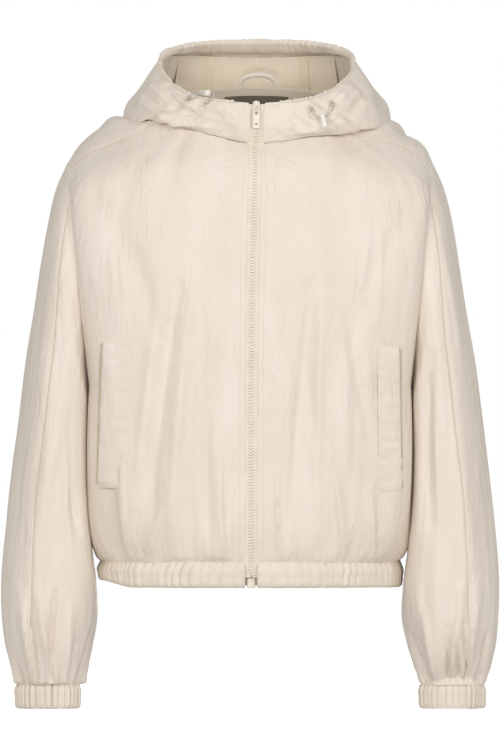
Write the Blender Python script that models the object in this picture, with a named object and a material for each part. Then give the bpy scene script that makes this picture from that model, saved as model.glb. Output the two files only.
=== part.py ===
"""Short hooded windbreaker jacket with a front zip: an open, hollow shell in its worn form.

Metres, +Z up, the front faces -Y, the wearer's left is +X.
The origin lies between the shoulders, level with the foot of the hood at the neck.
Every cloth piece is a thin wall: a grid laid on a surface and thickened along its normals.
"""

import math

import bmesh
import bpy
import numpy as np
from mathutils import Matrix, Vector

# Walls and seams
SHELL_WALL = 0.0012
LINING_WALL = 0.0010
SEAM_GAP = 0.0003
ZIP_OPENING = 0.0080

# Heights
HEM_SEAM_HEIGHT = -0.562
HEM_HEIGHT = -0.594
CUFF_SEAM_HEIGHT = -0.715
CUFF_HEIGHT = -0.746

# The front edge leans to the wearer's left as it rises: height and sideways shift
LEAN = {
    "height": (-0.594, -0.171, -0.046, 0.013, 0.200),
    "shift": (0.0015, 0.0038, 0.0069, 0.0081, 0.0085),
}

# Body sections: height, half width at the side seam, depth forwards and backwards
BODY_SECTIONS = {
    "height": (-0.562, -0.545, -0.521, -0.450, -0.340, -0.250, -0.150, -0.090),
    "half_width": (0.187, 0.191, 0.194, 0.199, 0.202, 0.202, 0.202, 0.202),
    "front": (0.112, 0.119, 0.123, 0.126, 0.128, 0.128, 0.123, 0.113),
    "back": (0.106, 0.112, 0.114, 0.114, 0.114, 0.115, 0.114, 0.107),
}
SECTION_POWER = 0.83
SIDE_POWER = 10
# How deep the body stays towards its sides, growing from the hem to the armhole
SIDE_DEPTH = {
    "height": (-0.562, -0.450, -0.340, -0.250, -0.200, -0.155, -0.110),
    "depth": (0.000, 0.018, 0.045, 0.070, 0.0795, 0.0755, 0.0605),
}
# Heights of the body's rows, closer together at the hem and at the foot of the armhole
ROW_HEIGHTS = (-0.562, -0.549, -0.528, -0.485, -0.435, -0.385, -0.350, -0.340, -0.333,
               -0.315, -0.285, -0.245, -0.200, -0.155, -0.110)
SHOULDER_ROWS = 5
PANEL_ROWS = len(ROW_HEIGHTS) - 1 + SHOULDER_ROWS

# Armhole: a leaning oval, shared by the body panels and the sleeve
ARMHOLE_TOP_X, ARMHOLE_TOP_Z = 0.230, -0.062
ARMHOLE_FOOT_X, ARMHOLE_FOOT_Z = 0.202, -0.340
ARMHOLE_HALF_DEPTH = 0.080

# Neck seam: a tilted oval, low at the front and high at the back
NECK_HALF_WIDTH = 0.142
NECK_FRONT_DEPTH = 0.100
NECK_BACK_DEPTH = 0.080
NECK_MIDDLE_Z = -0.0015
NECK_TILT = 0.0365
NECK_TILT_POWER = 1.15

# Forward shoulder seam, from the neck to the armhole
SHOULDER_SEAM_NECK_TURN = math.radians(57)
SHOULDER_SEAM_ARM_TURN = math.radians(18)
SHOULDER_SEAM = {
    "share": (0.25, 0.55, 0.80),
    "x": (0.147, 0.183, 0.212),
    "y": (-0.050, -0.041, -0.031),
    "z": (-0.0265, -0.039, -0.053),
}
# Columns of a front and of half the back along the neck and along the shoulder seam
FRONT_NECK_COLUMNS, BACK_NECK_COLUMNS, SHOULDER_COLUMNS = 5, 6, 5
FRONT_COLUMNS = FRONT_NECK_COLUMNS + SHOULDER_COLUMNS
BACK_COLUMNS = BACK_NECK_COLUMNS + SHOULDER_COLUMNS
FRONT_NECK_SHARE = FRONT_NECK_COLUMNS / FRONT_COLUMNS
BACK_NECK_SHARE = BACK_NECK_COLUMNS / BACK_COLUMNS
# The way the columns arrive at the upper edge, and how hard that pulls
FRONT_ARRIVAL = (0.0, 0.72, 0.69)
BACK_ARRIVAL = {
    "share": (0.0, 0.22, 0.37, 0.47, 0.545, 0.75, 1.0),
    "x": (0.0, -0.35, -0.70, -0.88, -1.08, -0.40, 0.0),
    "y": (-0.35, -0.40, -0.48, -0.50, -0.62, -0.72, -0.72),
    "z": (0.94, 0.85, 0.48, 0.10, -0.25, -0.66, -0.69),
}
TOP_PULL = 0.36
ARMHOLE_FIT_START = 0.55
FRONT_FIRST_TURN = math.asin(ZIP_OPENING / NECK_HALF_WIDTH)
# Height of each back column halfway over the shoulder
BACK_CREST = {
    "share": (0.0, 0.25, 0.42, 0.545, 0.70, 0.86, 1.0),
    "height": (-0.036, -0.030, -0.016, -0.006, -0.010, -0.030, -0.062),
}

# Sleeve rings from armhole to cuff: outer and inner point, half depth, middle depth, seam turn
SLEEVE_RINGS = {
    "outer_x": (0.230, 0.243, 0.253, 0.262, 0.271, 0.282, 0.291, 0.299, 0.306, 0.311,
                0.3125, 0.3095, 0.302, 0.2935),
    "outer_z": (-0.062, -0.095, -0.135, -0.185, -0.245, -0.310, -0.380, -0.445, -0.505,
                -0.560, -0.610, -0.655, -0.690, -0.715),
    "inner_x": (0.202, 0.2045, 0.206, 0.206, 0.206, 0.206, 0.205, 0.2035, 0.200, 0.193,
                0.191, 0.198, 0.206, 0.2135),
    "inner_z": (-0.340, -0.350, -0.362, -0.378, -0.400, -0.428, -0.462, -0.502, -0.545,
                -0.588, -0.628, -0.664, -0.692, -0.715),
    "half_depth": (0.080, 0.084, 0.087, 0.088, 0.087, 0.086, 0.084, 0.081, 0.077, 0.073,
                   0.068, 0.060, 0.047, 0.032),
    "middle_y": (0.000, 0.001, 0.002, 0.003, 0.003, 0.002, 0.000, -0.003, -0.007, -0.012,
                 -0.017, -0.021, -0.024, -0.026),
    "seam_turn": (45, 56, 64, 70, 73, 74, 73, 71, 70, 69, 68, 67, 66, 66),
}

# Gathers: rounded ridges side by side
SLEEVE_GATHERS = 14
SLEEVE_GATHER_HEIGHT = 0.0040
SLEEVE_GATHER_START = 0.80
CUFF_WAVES, CUFF_WAVE_HEIGHT = 18, 0.0016
HEM_WAVES, HEM_WAVE_HEIGHT = 40, 0.0016
CASING_WAVES, CASING_WAVE_HEIGHT = 26, 0.0010

# Soft folds of the fronts, as shares of width and height
FRONT_FOLDS = (
    # across_0, up_0, across_1, up_1, half_width, rise
    (0.20, -0.05, 0.30, 0.34, 0.090, 0.0032),
    (0.50, -0.05, 0.52, 0.40, 0.090, 0.0036),
    (0.80, -0.05, 0.76, 0.28, 0.080, 0.0030),
    (0.90, 0.50, 0.55, 0.72, 0.100, -0.0030),
)
# Folds of the sleeve: turn in degrees and share of length
SLEEVE_FOLDS = (
    # turn_0, along_0, turn_1, along_1, half_turn, rise
    (132, 0.30, 114, 0.66, 15, -0.0055),
    (98, 0.62, 128, 0.80, 14, 0.0040),
    (56, 0.40, 48, 0.85, 16, -0.0030),
    (250, 0.35, 235, 0.75, 20, -0.0045),
    (300, 0.55, 318, 0.88, 18, -0.0035),
)

# Hood sections by turn from the front: four points, each an offset from the neck seam
HOOD_SECTIONS = {
    "turn": (0, 30, 60, 90, 120, 150, 180, 210),
    "a_out": (0.004, 0.007, 0.0135, 0.0185, 0.040, 0.058, 0.056, 0.058),
    "a_up": (0.017, 0.012, 0.008, 0.0095, -0.009, -0.098, -0.130, -0.098),
    "b_out": (0.0045, 0.008, 0.0152, 0.021, 0.047, 0.079, 0.079, 0.079),
    "b_up": (0.0217, 0.0165, 0.0125, 0.0128, -0.007, -0.134, -0.174, -0.134),
    "c_out": (0.0045, 0.008, 0.0148, 0.019, 0.0485, 0.102, 0.104, 0.102),
    "c_up": (0.0265, 0.0235, 0.021, 0.0205, 0.003, -0.098, -0.132, -0.098),
    "d_out": (0.004, 0.007, 0.009, 0.009, 0.040, 0.105, 0.109, 0.105),
    "d_up": (0.0361, 0.036, 0.039, 0.039, 0.029, -0.012, -0.036, -0.012),
}
HOOD_PATH_SHARES = (0.0, 0.335, 0.43, 0.525, 0.715, 1.0)
# Columns of the whole hood: one on each corner of the fronts' neck, two to each cell of the back's
HOOD_COLUMNS = 2 * FRONT_NECK_COLUMNS + 4 * BACK_NECK_COLUMNS
HOOD_ROWS, HOOD_SEAM_COLUMN, HOOD_GAP_COLUMN = 15, 15, 0.015
HOOD_STANDOFF = 0.0012
RIM_HALF_WIDTH, RIM_HALF_DEPTH, RIM_CENTRE_Y = 0.122, 0.108, 0.004
RIM_WIDTH_POWER = 0.86
RIM_HEIGHTS = {
    "turn": (0, 30, 45, 60, 75, 90, 105, 120, 135, 150, 180),
    "height": (0.0125, 0.019, 0.028, 0.041, 0.055, 0.068, 0.077, 0.082, 0.087, 0.091, 0.094),
}
# Lining of the hood: on the hood's own columns and rows, up to the casing round the opening
LINING_FIRST_COLUMN, LINING_FIRST_ROW, LINING_LAST_ROW = 3, 1, 14
LINING_DROP = SHELL_WALL + 0.0008
CASING_START, CASING_END = 0.941, 0.999
CASING_FIRST_COLUMN = 0.7
CASING_DROP = SHELL_WALL + 0.0012

# Pocket welts as seen from the front: distances from the middle and heights
WELT_WALL, WELT_LIFT = 0.0020, 0.0012
WELTS = {
    # side: outer top x, inner top x, top z, outer foot x, inner foot x, foot z
    -1: (0.1830, 0.1510, -0.282, 0.1890, 0.1600, -0.468),
    1: (0.1835, 0.1575, -0.289, 0.1865, 0.1600, -0.474),
}

# Zip
CHAIN_HALF_WIDTH, CHAIN_WALL, CHAIN_LIFT = 0.0036, 0.0028, 0.0003
CHAIN_TOP = 0.0105
TAPE_START, TAPE_END = 0.0040, 0.0105
TAPE_WALL = 0.0010
TAPE_DROP = SHELL_WALL + 0.0012
SLIDER_WIDTH, SLIDER_WALL = 0.0086, 0.0015
SLIDER_FOOT, SLIDER_TOP = 0.0000, 0.0150
SLIDER_CLEARANCE = 0.0004
CROWN_WIDTH, CROWN_DEPTH, CROWN_FOOT = 0.0046, 0.0022, 0.0082
BAIL_WIDTH, BAIL_WIRE, BAIL_RADIUS = 0.0030, 0.0011, 0.0020
PIVOT_HEIGHT, PIVOT_STANDOFF = 0.0036, 0.0018
PULL_WIDTH, PULL_WALL, PULL_REACH = 0.0086, 0.0015, 0.0223
PULL_BAR = 0.0014
PULL_WINDOW_WIDTH, PULL_WINDOW_REACH = 0.0038, 0.0052
PULL_HOLE_WIDTH, PULL_HOLE_HEIGHT, PULL_HOLE_REACH = 0.0034, 0.0024, 0.0168
ZIP_BOX_WIDTH, ZIP_BOX_DEPTH, ZIP_BOX_STANDOFF = 0.0100, 0.0036, 0.0010
ZIP_BOX_TOP, ZIP_BOX_FOOT = -0.5805, -0.5930

# Drawcord: on each side one cord runs from eyelet to eyelet through a barrel lock
CORD_RADIUS, CORD_BEND_POINTS = 0.0011, 16
EYELET_RADIUS, EYELET_HOLE, EYELET_WALL, EYELET_LIFT = 0.0047, 0.0026, 0.0012, 0.0006
CORD_END_LIFT, CORD_RISE = 0.0010, 0.0034
EYELETS = {
    # side: turn in degrees and share of the hood, first the eyelet farther from the zip
    -1: ((-37.5, 0.870), (-25.8, 0.860)),
    1: ((40.0, 0.777), (27.5, 0.755)),
}
LOCK_RADIUS, LOCK_LENGTH = 0.0037, 0.0170
LOCK_HOLE_RADIUS = CORD_RADIUS + 0.0007
LOCKS = {
    # side: middle, axis, way of the cord's hole through it, place of the hole along the axis
    -1: ((-0.0565, -0.0905, 0.0258), (0.50, -0.866, 0.0), (0.866, 0.50, 0.0), 0.0),
    1: ((0.0919, -0.1005, -0.0088), (0.24, 0.0, -0.97), (-0.97, 0.0, -0.24), -0.0043),
}
CORD_BENDS = {
    # side: a place of the cord before the lock and one after it
    -1: ((-0.0680, -0.0962, 0.0245), (-0.0455, -0.0955, 0.0220)),
    1: ((0.1015, -0.0965, 0.0020), (0.0805, -0.1010, -0.0030)),
}

# Lining, label and hanger loop inside the back of the neck
NECK_LINING_COLUMN, NECK_LINING_ROW = 8, 15
LINING_NECK_DROP = SHELL_WALL + 0.0006
LABEL_HALF_SHARE, LABEL_FOOT_SHARE, LABEL_TOP_SHARE = 0.036, 0.945, 0.985
LOOP_CENTRE_X, LOOP_HALF_SPAN = 0.0100, 0.0215
LOOP_FOOT_Z, LOOP_RISE, LOOP_Y = 0.0385, 0.0140, 0.0700
LOOP_HALF_WIDTH, LOOP_WALL = 0.0030, 0.0014

FINISHES = {
    # name: red, green, blue, roughness, metallic
    "nylon_shell": (0.80, 0.72, 0.62, 0.50, 0.0),
    "elastic_band": (0.78, 0.70, 0.60, 0.55, 0.0),
    "mesh_lining": (0.64, 0.55, 0.42, 0.75, 0.0),
    "label_cloth": (0.17, 0.15, 0.12, 0.70, 0.0),
    "zip_tape": (0.74, 0.66, 0.55, 0.65, 0.0),
    "zip_plastic": (0.78, 0.70, 0.58, 0.40, 0.0),
    "enamelled_zinc": (0.76, 0.70, 0.59, 0.35, 0.3),
    "cord_braid": (0.80, 0.74, 0.64, 0.60, 0.0),
    "moulded_lock": (0.85, 0.83, 0.77, 0.35, 0.0),
}
SIDE_NAMES = {-1: "right", 1: "left"}


# Interpolation
def smooth(places, values, at):
    """A cubic curve through the values, with slopes from its neighbours."""
    places, values = np.asarray(places, float), np.asarray(values, float)
    slopes = np.gradient(values, places)
    at = np.clip(at, places[0], places[-1])
    left = np.clip(np.searchsorted(places, at) - 1, 0, len(places) - 2)
    return hermite(places, values, slopes, left, at)


def hermite(places, values, slopes, left, at):
    """The cubic piece that starts at each left index."""
    step = places[left + 1] - places[left]
    t = (at - places[left]) / step
    return ((2 * t**3 - 3 * t**2 + 1) * values[left] + (t**3 - 2 * t**2 + t) * step * slopes[left]
            + (3 * t**2 - 2 * t**3) * values[left + 1] + (t**3 - t**2) * step * slopes[left + 1])


def ease(t):
    """0 to 1 with level ends."""
    t = np.clip(t, 0.0, 1.0)
    return t * t * (3 - 2 * t)


def signed_power(value, power):
    return np.sign(value) * np.abs(value) ** power


def stack(x, y, z):
    return np.stack(np.broadcast_arrays(x, y, z), axis=-1)


def ridge(across, along, start, end, half_width):
    """1 along the line from start to end, falling softly to 0 beside it and at its ends."""
    start, end = np.asarray(start), np.asarray(end)
    line = end - start
    share = ((across - start[0]) * line[0] + (along - start[1]) * line[1]) / (line @ line)
    held = np.clip(share, 0, 1)
    away = np.hypot(across - start[0] - held * line[0], along - start[1] - held * line[1])
    return np.exp(-((away / half_width) ** 2)) * ease(np.minimum(share, 1 - share) * 4 + 0.6)


def lean(z):
    return smooth(LEAN["height"], LEAN["shift"], z)


# Shared seam lines of the wearer's left half, before the lean
def armhole_share(z):
    """0 at the shoulder, 1 at the underarm."""
    return np.clip((ARMHOLE_TOP_Z - z) / (ARMHOLE_TOP_Z - ARMHOLE_FOOT_Z), 0.0, 1.0)


def armhole_depth(z):
    share = armhole_share(z)
    return ARMHOLE_HALF_DEPTH * 2 * np.sqrt(share * (1 - share))


def side_x(z):
    """Half width of the body at its side seam, and at the armhole above that."""
    below = smooth(BODY_SECTIONS["height"], BODY_SECTIONS["half_width"], z)
    above = ARMHOLE_TOP_X + armhole_share(z) * (ARMHOLE_FOOT_X - ARMHOLE_TOP_X)
    return np.where(z < ARMHOLE_FOOT_Z, below, above)


def neck_seam(turn):
    """The neck seam at a turn from the front, positive towards the wearer's left."""
    depth = np.where(np.cos(turn) > 0, NECK_FRONT_DEPTH, NECK_BACK_DEPTH)
    return stack(NECK_HALF_WIDTH * np.sin(turn), -depth * np.cos(turn),
                 NECK_MIDDLE_Z - NECK_TILT * signed_power(np.cos(turn), NECK_TILT_POWER))


def shoulder_seam(share):
    """The forward shoulder seam, 0 at the neck and 1 at the armhole."""
    neck = neck_seam(SHOULDER_SEAM_NECK_TURN)
    drop = (1 - math.cos(SHOULDER_SEAM_ARM_TURN)) / 2
    end_z = ARMHOLE_TOP_Z + drop * (ARMHOLE_FOOT_Z - ARMHOLE_TOP_Z)
    end = (side_x(end_z), -ARMHOLE_HALF_DEPTH * math.sin(SHOULDER_SEAM_ARM_TURN), end_z)
    shares = (0.0, *SHOULDER_SEAM["share"], 1.0)
    return stack(*[smooth(shares, (neck[i], *SHOULDER_SEAM[axis], end[i]), share)
                   for i, axis in enumerate("xyz")])


def top_edge(across, neck_share, first_turn):
    """A panel's upper edge: the neck seam from first_turn, then the forward shoulder seam."""
    turn = first_turn + (SHOULDER_SEAM_NECK_TURN - first_turn) * np.clip(across / neck_share, 0, 1)
    share = np.clip((across - neck_share) / (1 - neck_share), 0, 1)
    edge = np.where((across < neck_share)[..., None], neck_seam(turn), shoulder_seam(share))
    return edge, 1 - share**2


# Body panels
def torso(across, z, face):
    """A level section: across runs 0 at the middle to 1 at the side, face is -1 front, 1 back."""
    turn = across * math.pi / 2
    start = ZIP_OPENING if face < 0 else 0.0
    x = start + (side_x(z) - start) * signed_power(np.sin(turn), SECTION_POWER)
    deep = smooth(BODY_SECTIONS["height"], BODY_SECTIONS["front" if face < 0 else "back"], z)
    soft = smooth(SIDE_DEPTH["height"], SIDE_DEPTH["depth"], z)
    round_off = (armhole_depth(z) - soft) * np.abs(np.sin(turn)) ** SIDE_POWER
    y = soft + (deep - soft) * signed_power(np.cos(turn), SECTION_POWER) + round_off
    return stack(x, face * (SEAM_GAP + y), z)


def panel_rows(up):
    """Splits a panel's height share into a level's height and a share over the shoulder."""
    levels = PANEL_ROWS - SHOULDER_ROWS
    row = up * PANEL_ROWS
    z = np.interp(row, np.arange(levels + 1), ROW_HEIGHTS)
    return z, np.clip((row - levels) / SHOULDER_ROWS, 0.0, 1.0)


def row_share(z):
    """The height share of a level below the shoulder."""
    return np.interp(z, ROW_HEIGHTS, np.arange(len(ROW_HEIGHTS))) / PANEL_ROWS


def bezier(points, share):
    first, second, third, last = points
    s = share[..., None]
    return ((1 - s)**3 * first + 3 * (1 - s)**2 * s * second
            + 3 * (1 - s) * s**2 * third + s**3 * last)


def over_armhole(over, face):
    """The armhole above the levels, from the front (-1) or the back (1) to the shoulder seam."""
    first = -face * math.acos(1 - 2 * float(armhole_share(ROW_HEIGHTS[-1])))
    turn = first + (SHOULDER_SEAM_ARM_TURN - first) * over
    z = ARMHOLE_TOP_Z + (1 - np.cos(turn)) / 2 * (ARMHOLE_FOOT_Z - ARMHOLE_TOP_Z)
    return stack(side_x(z), -ARMHOLE_HALF_DEPTH * np.sin(turn) + face * SEAM_GAP, z)


def settle(column, across, up, face, weight_top, side):
    """Fits a panel's columns to the armhole, mirrors them to their side and adds the lean."""
    z, over = panel_rows(up)
    points = column(across, z, over)
    miss = over_armhole(over, face) - column(np.ones_like(across), z, over)
    share = np.where(over > 0, ease((across - ARMHOLE_FIT_START) / (1 - ARMHOLE_FIT_START)), 0.0)
    points = points + miss * share[..., None]
    weight_low = 1 - across**2
    weight = weight_low + (weight_top - weight_low) * ease(over)
    x = side * points[..., 0] + lean(points[..., 2]) * weight
    return stack(x, points[..., 1], points[..., 2])


def front_rise(across, up):
    """Height of the front's soft folds, which fade into its edges."""
    total = np.zeros_like(across)
    for across_0, up_0, across_1, up_1, half_width, rise in FRONT_FOLDS:
        total = total + rise * ridge(across, up, (across_0, up_0), (across_1, up_1), half_width)
    return total * ease(across * 8) * ease((1 - across) * 8) * ease(up * 12) * ease((1 - up) * 6)


def front_column(across, z, over):
    low = torso(across, z, -1)
    top, _ = top_edge(across, FRONT_NECK_SHARE, FRONT_FIRST_TURN)
    rise = (top - low)[..., 2:]
    reach = np.linalg.norm(top - low, axis=-1, keepdims=True)
    second = low + rise * np.array((0.0, -0.10, 0.55))
    third = top - TOP_PULL * reach * np.array(FRONT_ARRIVAL)
    return bezier((low, second, third, top), over * (1 - SEAM_GAP / reach[..., 0]))


def front(side):
    """One front, from the zip (0) to the side seam (1) and from the hem (0) to its top (1)."""
    def surface(across, up):
        _, weight_top = top_edge(across, FRONT_NECK_SHARE, FRONT_FIRST_TURN)
        points = settle(front_column, across, up, -1, weight_top, side)
        return points - front_rise(across, up)[..., None] * np.array((0.0, 1.0, 0.0))
    return surface


def back_column(across, z, over):
    low = torso(across, z, 1)
    top, _ = top_edge(across, BACK_NECK_SHARE, math.pi)
    reach = np.linalg.norm(top - low, axis=-1, keepdims=True)
    arrival = stack(*[smooth(BACK_ARRIVAL["share"], BACK_ARRIVAL[axis], across) for axis in "xyz"])
    third = top - TOP_PULL * reach * arrival
    crest = smooth(BACK_CREST["share"], BACK_CREST["height"], across)
    level = (crest - 0.125 * (low[..., 2] + top[..., 2]) - 0.375 * third[..., 2]) / 0.375
    second = stack(low[..., 0], low[..., 1], level)
    points = bezier((low, second, third, top), over * (1 - SEAM_GAP / reach[..., 0]))
    return np.where((over > 0)[..., None], points, low)


def back(across, up):
    """The back from side seam (0) to side seam (1), over the shoulders to the front seam."""
    offset = 2 * across - 1
    side, across = np.where(offset < 0, -1.0, 1.0), np.abs(offset)
    _, weight_top = top_edge(across, BACK_NECK_SHARE, math.pi)
    return settle(back_column, across, up, 1, weight_top, side)


# Sleeve, cuff and hem band
def ring_value(name, along):
    values = SLEEVE_RINGS[name]
    return smooth(np.arange(len(values)), values, along * (len(values) - 1))


def sleeve_rise(turn, along):
    """Gathers above the cuff and the sleeve's larger folds."""
    degrees = np.degrees(turn) % 360
    gather = ease((along - SLEEVE_GATHER_START) / 0.14)
    rise = SLEEVE_GATHER_HEIGHT * np.cos(SLEEVE_GATHERS * turn) * gather
    for turn_0, along_0, turn_1, along_1, half_turn, fold in SLEEVE_FOLDS:
        rise = rise + fold * ridge(degrees / 360, along, (turn_0 / 360, along_0),
                                   (turn_1 / 360, along_1), half_turn / 360)
    return rise * ease((1 - along) * 24) * ease(along * 12)


def sleeve(turn, along, side):
    """The sleeve: turn 0 at its outer edge, a quarter at the front, half at the underarm."""
    share = (1 - np.cos(turn)) / 2
    outer_x, inner_x = ring_value("outer_x", along), ring_value("inner_x", along)
    outer_z, inner_z = ring_value("outer_z", along), ring_value("inner_z", along)
    rise = sleeve_rise(turn, along)
    reach = np.hypot(outer_x - inner_x, outer_z - inner_z)
    x = outer_x + (share - rise * np.cos(turn) / reach) * (inner_x - outer_x)
    z = outer_z + (share - rise * np.cos(turn) / reach) * (inner_z - outer_z)
    y = ring_value("middle_y", along) - (ring_value("half_depth", along) + rise) * np.sin(turn)
    return stack(side * (x + 2 * SEAM_GAP), y, z)


def sleeve_turn(across, along, is_front):
    """The turn of a sleeve panel's column, between its outer seam and the underarm."""
    seam = np.radians(ring_value("seam_turn", along))
    gap = 2 * SEAM_GAP / ring_value("half_depth", along)
    if is_front:
        first, last = seam + gap, math.pi - gap
    else:
        first, last = math.pi + gap, 2 * math.pi + seam - gap
    return first + (last - first) * across


def sleeve_panel(side, is_front):
    def surface(across, along):
        return sleeve(sleeve_turn(across, along, is_front), along, side)
    return surface


def sleeve_edge_normals(side, is_front):
    """At the armhole the wall is thickened within the plane of the seam."""
    def adjust(across, along, normals):
        turn = sleeve_turn(across, along, is_front)
        rise_x = ring_value("outer_x", along) - ring_value("inner_x", along)
        rise_z = ring_value("outer_z", along) - ring_value("inner_z", along)
        reach = np.hypot(rise_x, rise_z)
        flat = stack(side * np.cos(turn) * rise_x / reach / (reach / 2),
                     -np.sin(turn) / ring_value("half_depth", along),
                     np.cos(turn) * rise_z / reach / (reach / 2))
        flat = flat / np.linalg.norm(flat, axis=-1, keepdims=True)
        cosine = np.clip(np.sum(flat * normals, axis=-1, keepdims=True), 0.6, 1.0)
        weight = ease(along * 10)[..., None]
        return weight * normals + (1 - weight) * flat / cosine
    return adjust


def cuff(side):
    def surface(across, along):
        turn = across * 2 * math.pi
        outer, inner = SLEEVE_RINGS["outer_x"][-1], SLEEVE_RINGS["inner_x"][-1]
        barrel = 1 + 0.03 * np.sin(math.pi * along)
        x = (outer + inner) / 2 + (outer - inner) / 2 * barrel * np.cos(turn)
        y = SLEEVE_RINGS["middle_y"][-1] - SLEEVE_RINGS["half_depth"][-1] * barrel * np.sin(turn)
        z = CUFF_SEAM_HEIGHT - SEAM_GAP + along * (CUFF_HEIGHT - CUFF_SEAM_HEIGHT + SEAM_GAP)
        return stack(side * x, y, z)
    return surface


def hem_band(across, along):
    """The hem band from the zip round the back to the zip, and from the seam (0) down (1)."""
    taper = 0.003 * along
    width = BODY_SECTIONS["half_width"][0] - taper
    start = math.asin((ZIP_OPENING / BODY_SECTIONS["half_width"][0]) ** (1 / SECTION_POWER))
    turn = start + (2 * math.pi - 2 * start) * across
    deep = np.where(np.cos(turn) > 0, BODY_SECTIONS["front"][0], BODY_SECTIONS["back"][0]) - taper
    z = HEM_SEAM_HEIGHT - SEAM_GAP + along * (HEM_HEIGHT - HEM_SEAM_HEIGHT + SEAM_GAP)
    x = width * signed_power(np.sin(turn), SECTION_POWER)
    y = -deep * signed_power(np.cos(turn), SECTION_POWER)
    return stack(x + lean(z) * (1 - (x / width) ** 2), y, z)


def waves(count, height):
    """Gathers of a band: uneven rounded ridges over its whole height."""
    def relief(across, along):
        phase = 2 * math.pi * across
        wobble = 0.8 * np.sin(5 * phase) + 0.5 * np.sin(3 * phase + 1)
        return height * (0.5 + 0.5 * np.cos(count * phase + wobble)) * (1 - 0.3 * along)
    return relief


# Hood
def neck_corners(turn):
    """The neck seam as the body panels' columns show it, straight between their corners."""
    front_turns = np.linspace(FRONT_FIRST_TURN, SHOULDER_SEAM_NECK_TURN, FRONT_NECK_COLUMNS + 1)
    back_turns = np.linspace(SHOULDER_SEAM_NECK_TURN, math.pi, BACK_NECK_COLUMNS + 1)
    turns = np.concatenate([[0.0], front_turns, back_turns[1:]])
    corners = neck_seam(turns)
    x, y, z = [np.interp(np.abs(turn), turns, corners[:, axis]) for axis in range(3)]
    return stack(np.sign(turn) * x, y, z)


def rim(turn):
    """The edge of the face opening, before the lean."""
    x = RIM_HALF_WIDTH * signed_power(np.sin(turn), RIM_WIDTH_POWER)
    y = RIM_CENTRE_Y - RIM_HALF_DEPTH * np.cos(turn)
    return stack(x, y, smooth(RIM_HEIGHTS["turn"], RIM_HEIGHTS["height"], np.degrees(np.abs(turn))))


def hood(turn, along):
    """The lowered hood, from the neck seam (0) down into its pouch and up to the rim (1)."""
    turn = (turn + math.pi) % (2 * math.pi) - math.pi
    degrees = np.degrees(np.abs(turn))
    neck = neck_seam(turn)
    out = HOOD_STANDOFF * ease((degrees - 30) / 30)
    points = [neck_corners(turn) + stack(out * np.sin(turn), -out * np.cos(turn), 2 * SEAM_GAP)]
    for name in "abcd":
        out = smooth(HOOD_SECTIONS["turn"], HOOD_SECTIONS[name + "_out"], degrees)
        rise = smooth(HOOD_SECTIONS["turn"], HOOD_SECTIONS[name + "_up"], degrees)
        points.append(neck + stack(out * np.sin(turn), -out * np.cos(turn), rise))
    points.append(rim(turn))
    knots = np.array(HOOD_PATH_SHARES)
    points = np.stack(points)
    slopes = np.gradient(points, knots, axis=0)
    along = np.broadcast_to(along, turn.shape)
    left = np.clip(np.searchsorted(knots, along, side="right") - 1, 0, len(knots) - 2)
    step = (knots[left + 1] - knots[left])[..., None]
    t = ((along - knots[left])[..., None]) / step
    cell = np.indices(left.shape)
    path = ((2 * t**3 - 3 * t**2 + 1) * points[(left, *cell)]
            + (t**3 - 2 * t**2 + t) * step * slopes[(left, *cell)]
            + (3 * t**2 - 2 * t**3) * points[(left + 1, *cell)]
            + (t**3 - t**2) * step * slopes[(left + 1, *cell)])
    shift = lean(neck[..., 2] + np.clip(along, 0, 1) * (LEAN["height"][-1] - neck[..., 2]))
    return stack(path[..., 0] + shift, path[..., 1], path[..., 2])


def hood_turn(column):
    """The turn of a column line of the hood, counted from the zip round to the zip."""
    places = (0, FRONT_NECK_COLUMNS, HOOD_COLUMNS / 2, HOOD_COLUMNS - FRONT_NECK_COLUMNS, HOOD_COLUMNS)
    first, seam, whole = FRONT_FIRST_TURN, SHOULDER_SEAM_NECK_TURN, 2 * math.pi
    return np.interp(column, places, (first, seam, math.pi, whole - seam, whole - first))


def hood_panel(first_column, last_column, first_along=0.0, last_along=1.0):
    def surface(across, along):
        return hood(hood_turn(first_column + (last_column - first_column) * across),
                    first_along + (last_along - first_along) * along)
    return surface


# Zip
def zip_line():
    """Corners of the closed front edge from the hem to the rim, on the panels' own rows."""
    body, neck = np.linspace(0, 1, PANEL_ROWS + 1), np.linspace(0, 1, HOOD_ROWS + 1)
    return np.concatenate([hem_band(np.zeros(2), np.array((1.0, 0.0))),
                           front(1)(np.zeros_like(body), body),
                           hood(np.full_like(neck, FRONT_FIRST_TURN), neck)[1:]])[:, 1:]


def zip_depth(z):
    line = zip_line()
    return np.interp(z, line[:, 1], line[:, 0])


def zip_strip(first_x, last_x, foot, top):
    """A strip along the front edge with a row at each of its corners, and its count of rows."""
    heights = zip_line()[:, 1]
    heights = [foot, *[z for z in heights if foot + 0.002 < z < top - 0.002], top]

    def surface(across, up):
        z = np.interp(up * (len(heights) - 1), np.arange(len(heights)), heights)
        return stack(lean(z) + first_x + (last_x - first_x) * across, zip_depth(z), z)
    return surface, len(heights) - 1


def facets(surface, columns, rows):
    """A surface as its coarse grid shows it, for what lies on it."""
    shares = np.meshgrid(np.linspace(0, 1, columns + 1), np.linspace(0, 1, rows + 1), indexing="ij")
    grid = surface(*shares)

    def faceted(across, up):
        column = np.clip(np.floor(across * columns).astype(int), 0, columns - 1)
        row = np.clip(np.floor(up * rows).astype(int), 0, rows - 1)
        a, b = (across * columns - column)[..., None], (up * rows - row)[..., None]
        return ((1 - a) * (1 - b) * grid[column, row] + a * (1 - b) * grid[column + 1, row]
                + (1 - a) * b * grid[column, row + 1] + a * b * grid[column + 1, row + 1])
    return faceted


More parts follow.
